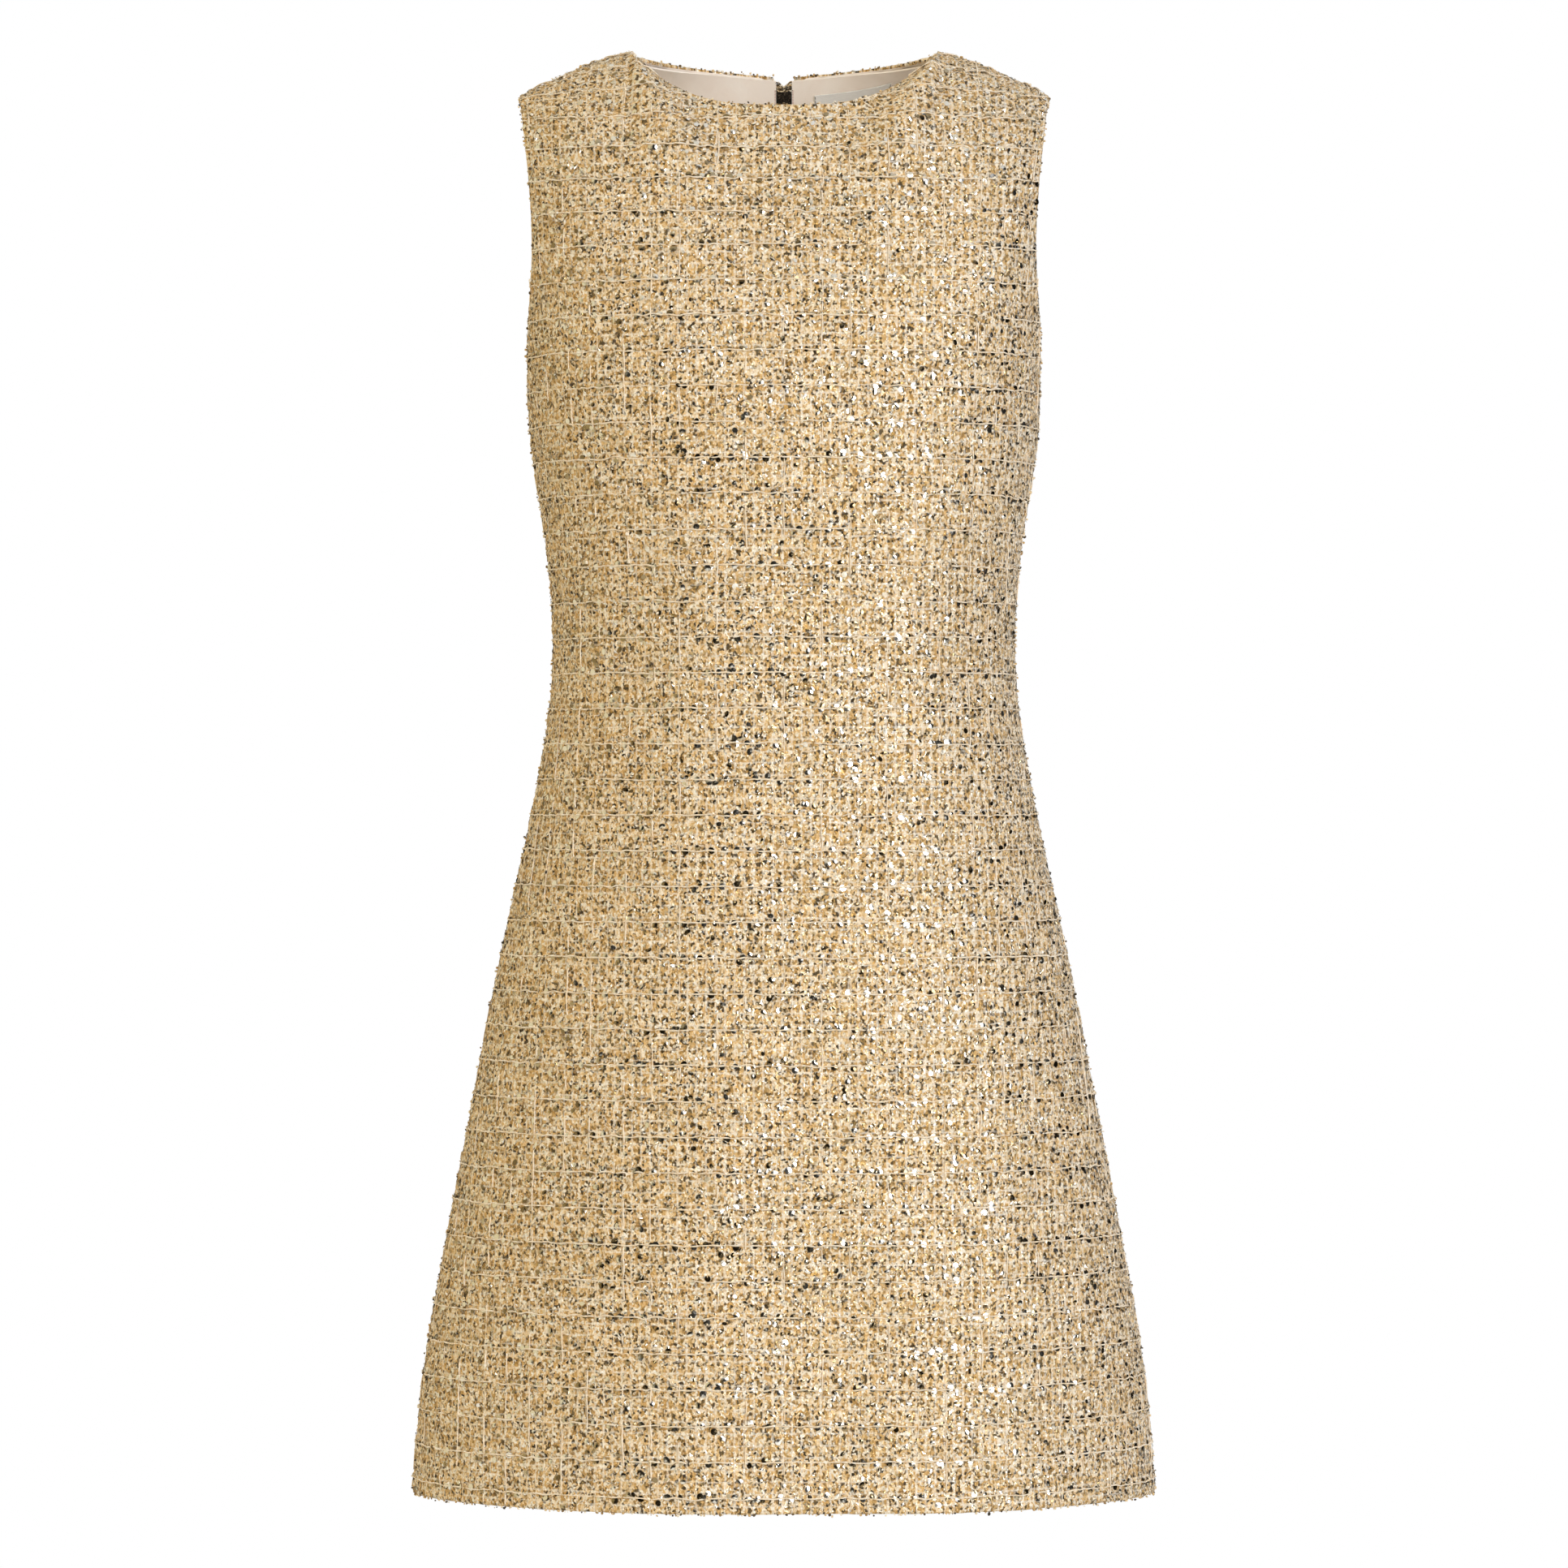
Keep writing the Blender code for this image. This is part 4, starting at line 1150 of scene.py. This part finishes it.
def films(panel, rng, material):
    """Flecks of slit film that stand up out of the yarns."""
    u, v = random_places(panel, rng, FILMS_M2)
    points = panel.at(u, v, rng.uniform(0.25, 0.75, len(u)) * MM)
    facing = tilted(panel.sample(panel.normal, u, v), rng, 26)
    size = np.stack([rng.uniform(0.35, 0.75, len(u)), rng.uniform(0.5, 1.15, len(u)),
                     np.full(len(u), 1.0)], -1)
    along = unit(rng.normal(size=points.shape))
    mesh = scatter("films_" + panel.name, "disc", points, facing, along, size,
                   {"Sides": 3, "Radius": FILM, "Cup": FILM_CUP}, material,
                   shade=rng.random(len(u)))
    return show(mesh.name, mesh, [material], "dress", "tweed", soft=False)


def nubs(panel, rng, material):
    """Knots of yarn along the hem, neck and armholes, and loops that stand up from the cloth."""
    middle, outward, free = panel.edge
    chosen = np.flatnonzero((free > 0) & (rng.random(len(free)) < RIM_NUBS))
    rim = middle[chosen] + outward[chosen] * rng.uniform(-0.2, 0.7, (len(chosen), 1)) * MM
    rim = rim + rng.normal(size=rim.shape) * 0.35 * MM
    u, v = random_places(panel, rng, NUBS_M2)
    loops = panel.at(u, v, rng.uniform(0.1, 1.4, len(u)) * MM)
    points = np.concatenate([rim, loops])
    count = len(points)
    size = rng.uniform(0.5, 1.2, (count, 1)) * rng.uniform(0.6, 1.25, (count, 3))
    facing, along = (unit(rng.normal(size=points.shape)) for _ in range(2))
    mesh = scatter("nubs_" + panel.name, "nub", points, facing, along, size,
                   {"Radius": NUB}, material, shade=rng.random(count))
    return show(mesh.name, mesh, [material], "dress", "tweed")


# ---- lining, label and zip ------------------------------------------------------------------
def patch(low, high, foot, top, columns, rows):
    """A grid of u and v between two columns and two rows, each given as a function."""
    a, b = np.meshgrid(np.linspace(0, 1, columns), np.linspace(0, 1, rows))
    u, v = a * 0.1, b * 0.1                       # a first guess, which the rounds correct
    for _ in range(6):
        u = low(v) + (high(v) - low(v)) * a
        v = foot(u) + (top(u) - foot(u)) * b
    return u, v


def steady(value):
    """An edge that keeps to one column or row."""
    return lambda x: x * 0 + value


def below_top(panel, drop):
    """An edge that follows the panel's top edge."""
    return lambda u: panel.top_at(u) - drop


def sewn_in(name, panel, edges, grid, lie, thick, looks, rests_on, **cut):
    """A closed sheet inside a panel, lie below its face; the size it was cut to is not used."""
    u, v = patch(*edges, *grid)
    mesh = wall(name, panel.at(u, v, -lie), panel.at(u, v, -lie - thick), np.stack([u, v], -1))
    material, slot, node = looks
    show(name, mesh, [material], "dress", slot, node)


def linings(panel, word, material):
    """The neck lining of one back panel, from the chest line to just under the neck edge."""
    edges = (steady(LINING_EDGE), lambda v: np.interp(v, panel.v, panel.width_high),
             steady(CHEST), below_top(panel, LINING_TOP))
    sewn_in("satin_back_" + word, panel, edges, (60, 44), LINING_LIE, LINING,
            (material, "lining", "lining_back_" + word), "back_panel_" + word,
            flat=(0.168, 0.155), area=0.0200)


def tape(panel, word, material):
    """One tape of the zip, from inside the teeth to its stitching."""
    edges = (steady(TAPE_EDGE), steady(STITCH_LINE), steady(ZIP_END),
             below_top(panel, TAPE_TOP))
    sewn_in("tape_" + word, panel, edges, (7, 200), TAPE_LIE, TAPE,
            (material, "zip_tape", "zip_tape_" + word), "back_panel_" + word,
            flat=(STITCH_LINE - TAPE_EDGE, 0.515))


def neck_label(panel, material):
    """The blank label on the left lining."""
    edges = (steady(LABEL_EDGE), steady(LABEL_END), below_top(panel, LABEL_FOOT),
             below_top(panel, LABEL_TOP))
    sewn_in("neck_label", panel, edges, (40, 16), LABEL_LIE, LABEL,
            (material, "label", "label"), "lining_back_left", flat=(0.048, 0.018))


def centre_line(panel):
    """The zip's line down the middle of the back: places, outward directions and lengths."""
    v = np.arange(panel.top[0] - 2 * MM, ZIP_END, -0.4 * MM)
    u = np.zeros(len(v))
    line = panel.at(u, v, -TAPE_LIE - TAPE / 2)
    line[:, 0] = 0.0
    out = panel.sample(panel.normal, u, v)
    out[:, 0] = 0.0
    return line, unit(out), runs(line)


def zip_teeth(panel, material):
    """Two rows of teeth that mesh along the middle, from the slider down to the bottom stop."""
    line, out, length = centre_line(panel)
    places = np.arange(FIRST_TOOTH, length[-1] - 2 * MM, TOOTH_PITCH)
    at = np.stack([np.interp(places, length, line[:, k]) for k in range(3)], -1)
    facing = unit(np.stack([np.interp(places, length, out[:, k]) for k in range(3)], -1))
    side = np.where(np.arange(len(places)) % 2 == 0, 1.0, -1.0)
    at[:, 0] += side * TOOTH_REACH
    along = np.tile([1.0, 0.0, 0.0], (len(places), 1))
    size = np.ones((len(at), 3))
    at[-1, 0] = 0.0
    size[-1] = BOTTOM_STOP
    mesh = scatter("zip_teeth", "block", at, facing, along, size, {"Size": TOOTH_SIZE}, material)
    reshaped(mesh, lambda bm: bmesh.ops.bevel(bm, geom=bm.edges, offset=0.18 * MM, segments=1,
                                              affect="EDGES"))
    show("zip_teeth", mesh, [material], "dress", "zip_metal", "zip_chain", soft=False)


def round_corners(bm):
    """Merge a solid's loose triangles and round its corners."""
    bmesh.ops.remove_doubles(bm, verts=bm.verts, dist=0.005 * MM)
    bmesh.ops.dissolve_limit(bm, angle_limit=math.radians(2), verts=bm.verts, edges=bm.edges)
    bmesh.ops.bevel(bm, geom=bm.edges, offset=CORNER, segments=2, affect="EDGES", profile=0.6,
                    clamp_overlap=True)


def hard_piece(node, name, body_name, material):
    """A finished copy of a solid."""
    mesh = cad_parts[node].data.copy()
    reshaped(mesh, round_corners)
    mesh.name = name
    show(name, mesh, [material], body_name, "zip_metal", node)
    mesh.set_sharp_from_angle(angle=math.radians(50))


def stitches(name, panel, u, v, lift, length, material, slot):
    """A row of short upright stitches at places of a panel."""
    points = panel.at(u, v, lift)
    mesh = scatter(name, "thread", points, panel.sample(panel.normal, u, v),
                   panel.sample(panel.up, u, v), np.ones(points.shape),
                   {"Sides": 4, "Radius": THREAD, "Length": length}, material)
    show(name, mesh, [material], "dress", slot)


def yarn_ends(panel, rng, material):
    """Frayed ends of tweed yarn that curl over the top of the zip. Lengths here are in
    millimetres: across from the middle, down from the neck edge, and deep behind the face."""
    lines, thick, shades, points = [], [], [], 7
    steps = np.linspace(0, 1, points)
    for _ in range(YARN_ENDS):
        right = rng.random() < 0.62
        start = rng.uniform(2.0, 6.4) if right else -rng.uniform(3.0, 5.8)
        heading = rng.uniform(2.0, 8.0) * (-1 if right else 1)
        x = start + heading * steps * rng.uniform(0.3, 1.0) + 0.5 * rng.normal(size=points)
        begin = rng.uniform(0.6, 6.4)
        fall = begin + rng.uniform(0.0, 2.2) * steps + 0.4 * rng.normal(size=points)
        deep = rng.uniform(2.2, 4.6) + 0.35 * rng.normal(size=points)
        fall = np.clip(np.maximum(fall, 5.2 - 1.1 * np.abs(x)), 0.2, 8.4)
        line = panel.at(np.zeros(points), panel.top[0] - fall * MM, -deep * MM)
        line[:, 0] = x * MM
        lines.append(line)
        thick.append(np.full(points, rng.uniform(0.24, 0.46)) * MM)
        shades.append(np.full(points, rng.random() ** 1.6))
    guide = lines_mesh("ends", lines, thick, shade=np.concatenate(shades))
    mesh = grow("yarn_ends", guide, TREES["tube"], {"Sides": 6, "Material": material})
    return show("yarn_ends", mesh, [material], "dress", "tweed")


def sewing(left, right):
    """Stitches along the zip, down the lining's edge and at the ends of the label."""
    gold = thread_look("gold_thread", (0.72, 0.55, 0.30))
    rose = thread_look("rose_thread", (0.62, 0.26, 0.20))
    dark = thread_look("dark_thread", (0.10, 0.085, 0.075))
    for panel, word in ((left, "left"), (right, "right")):
        v = np.arange(ZIP_END + 4 * MM, panel.top[0] - 3 * MM, 2.8 * MM)
        u = np.interp(v, panel.v, panel.width_low) + 1.9 * MM
        stitches("zip_stitches_" + word, panel, u, v, 0.35 * MM, 2.1 * MM, gold, "tweed")
        v = np.arange(panel.top[0] - 60 * MM, panel.top[0] - 5.5 * MM, 1.9 * MM)
        u = np.full(len(v), LINING_EDGE + 0.7 * MM)
        stitches("lining_stitches_" + word, panel, u, v, -LINING_LIE - LINING - STITCH_RISE,
                 1.5 * MM, rose, "lining")
    for word, across in (("near", LABEL_EDGE + 0.5 * MM), ("far", LABEL_END - 0.5 * MM)):
        v = left.top_at(across) - np.arange(12.5, 28.5, 2.6) * MM
        u = np.full(len(v), across)
        stitches("label_stitches_" + word, left, u, v, -LABEL_LIE - LABEL - STITCH_RISE,
                 1.9 * MM, dark, "label")


# ---- stage ----------------------------------------------------------------------------------
def softbox(lamp):
    """One rectangular lamp that points at the middle of the dress."""
    light = bpy.data.lights.new(lamp.name, "AREA")
    light.shape, light.size, light.size_y = "RECTANGLE", lamp.width, lamp.height
    light.energy, light.color = lamp.power, lamp.colour
    box = bpy.data.objects.new(lamp.name, light)
    box.location = lamp.place
    towards = Vector(MIDDLE) - Vector(lamp.place)
    box.rotation_euler = towards.to_track_quat("-Z", "Y").to_euler()
    box.visible_diffuse, box.visible_glossy = lamp.diffuse, lamp.glossy
    bpy.context.scene.collection.objects.link(box)


def room():
    """A white room, with a dark band level with the dress and a warm left wall in what the
    cloth sees of it."""
    world = bpy.data.worlds.new("studio")
    bpy.context.scene.world = world
    world.use_nodes = True
    graph = Graph(world.node_tree)
    camera_ray = graph.node("ShaderNodeLightPath")
    at = graph.node("ShaderNodeTexCoord", out="Generated")
    sideways, forward, level = (graph.split(at, axis) for axis in range(3))
    low = 1.0 - graph.between(level.math("ABSOLUTE"), 0.44, 0.74)
    near = graph.between(forward.math("ABSOLUTE").math("MAXIMUM", sideways), 0.55, 0.80)
    dim = WORLD_LIGHT * (1.0 - low * near * 0.98)
    warm = (sideways * -1.0).math("ADD", 0.25, clamp=True) * (1.0 - camera_ray)
    tint = graph.node("ShaderNodeCombineColor", {}, {0: 1.0, 1: 1.0 - warm * 0.11,
                                                     2: 1.0 - warm * 0.40})
    ground = world.node_tree.nodes["Background"]
    for socket, value in (("Strength", dim + (1.0 - dim) * camera_ray), ("Color", tint)):
        world.node_tree.links.new(value.socket, ground.inputs[socket])


def pale_floor():
    """The floor where the wearer would stand."""
    mesh = bpy.data.meshes.new("floor")
    reshaped(mesh, lambda bm: bmesh.ops.create_circle(bm, cap_ends=True, radius=3.0,
                                                      segments=96))
    mesh.transform(Matrix.Translation((0, 0, FLOOR)))
    floor = bpy.data.objects.new("floor", mesh)
    bpy.context.scene.collection.objects.link(floor)
    look = Look("floor", roughness=0.6)
    look.set("Base Color", look.mix(look.noise(look.place(), 0.002, 2.0), (0.80, 0.80, 0.79),
                                    (0.84, 0.84, 0.83)))
    mesh.materials.append(look.material)


def studio():
    """Room, floor, softboxes and camera."""
    scene = bpy.context.scene
    scene.view_settings.view_transform = "Standard"
    room()
    pale_floor()
    for lamp in LAMPS:
        softbox(lamp)
    camera = bpy.data.cameras.new("camera")
    camera.lens, camera.sensor_width = CAMERA_LENS, 36.0
    camera.clip_start, camera.clip_end = 0.05, 60.0
    eye = bpy.data.objects.new("camera", camera)
    eye.location = (0.0, -CAMERA_AWAY, CAMERA_HEIGHT)
    eye.rotation_euler = (math.pi / 2, 0.0, 0.0)
    scene.collection.objects.link(eye)
    scene.camera = eye


# ---- the dress ------------------------------------------------------------------------------
def tweed_pieces(panels, cuts, lining):
    """The three tweed panels, each with the yarns, sequins, film and knots on it."""
    tweed, pale, disc, film, nub = (tweed_look(), pale_yarn_look(), sequin_look(), film_look(),
                                    nub_look())
    for number, (panel, (node, flat, area)) in enumerate(zip(panels, cuts)):
        rng = np.random.default_rng(FIRST_SEED + number)
        cloth = tweed_panel("tweed_" + panel.name, panel, rng, [tweed, lining], node)
        rows = threaded(panel, rng)
        extras = [pale_yarns(panel, rows, rng, pale), sequins(panel, rows, rng, disc),
                  films(panel, rng, film), nubs(panel, rng, nub)]
        if panel.name == "back_left":
            extras.append(yarn_ends(panel, rng, nub))


def build():
    """Every piece of the dress around its solids."""
    for shape in SHAPES:
        TREES[shape] = scatter_tree("place_" + shape, shape)
    TREES["tube"] = tube_tree("spin_yarn")
    lining, black = lining_look(), tape_look()
    metal = metal_look("dark_metal", (0.030, 0.027, 0.024), (0.26, 0.22, 0.17))
    bright = metal_look("zip_metal", (0.26, 0.235, 0.20), (0.58, 0.52, 0.43))
    front = Panel("front", FRONT, [Half(FRONT, -1), Half(FRONT, 1)])
    left = Panel("back_left", BACK, [Half(BACK, 1)])
    right = Panel("back_right", BACK, [Half(BACK, -1)])
    tweed_pieces((front, left, right), (("front_panel", (0.580, 0.870), 0.385),
                                        ("back_panel_left", (0.292, 0.870), 0.188),
                                        ("back_panel_right", (0.294, 0.870), 0.188)), lining)
    for panel, word in ((left, "left"), (right, "right")):
        linings(panel, word, lining)
        tape(panel, word, black)
    neck_label(left, label_look())
    sewing(left, right)
    zip_teeth(left, bright)
    hard_piece("zip_slider", "slider", "dress", metal)
    hard_piece("zip_pull", "pull_tab_metal", "pull_tab", bright)


build()
studio()
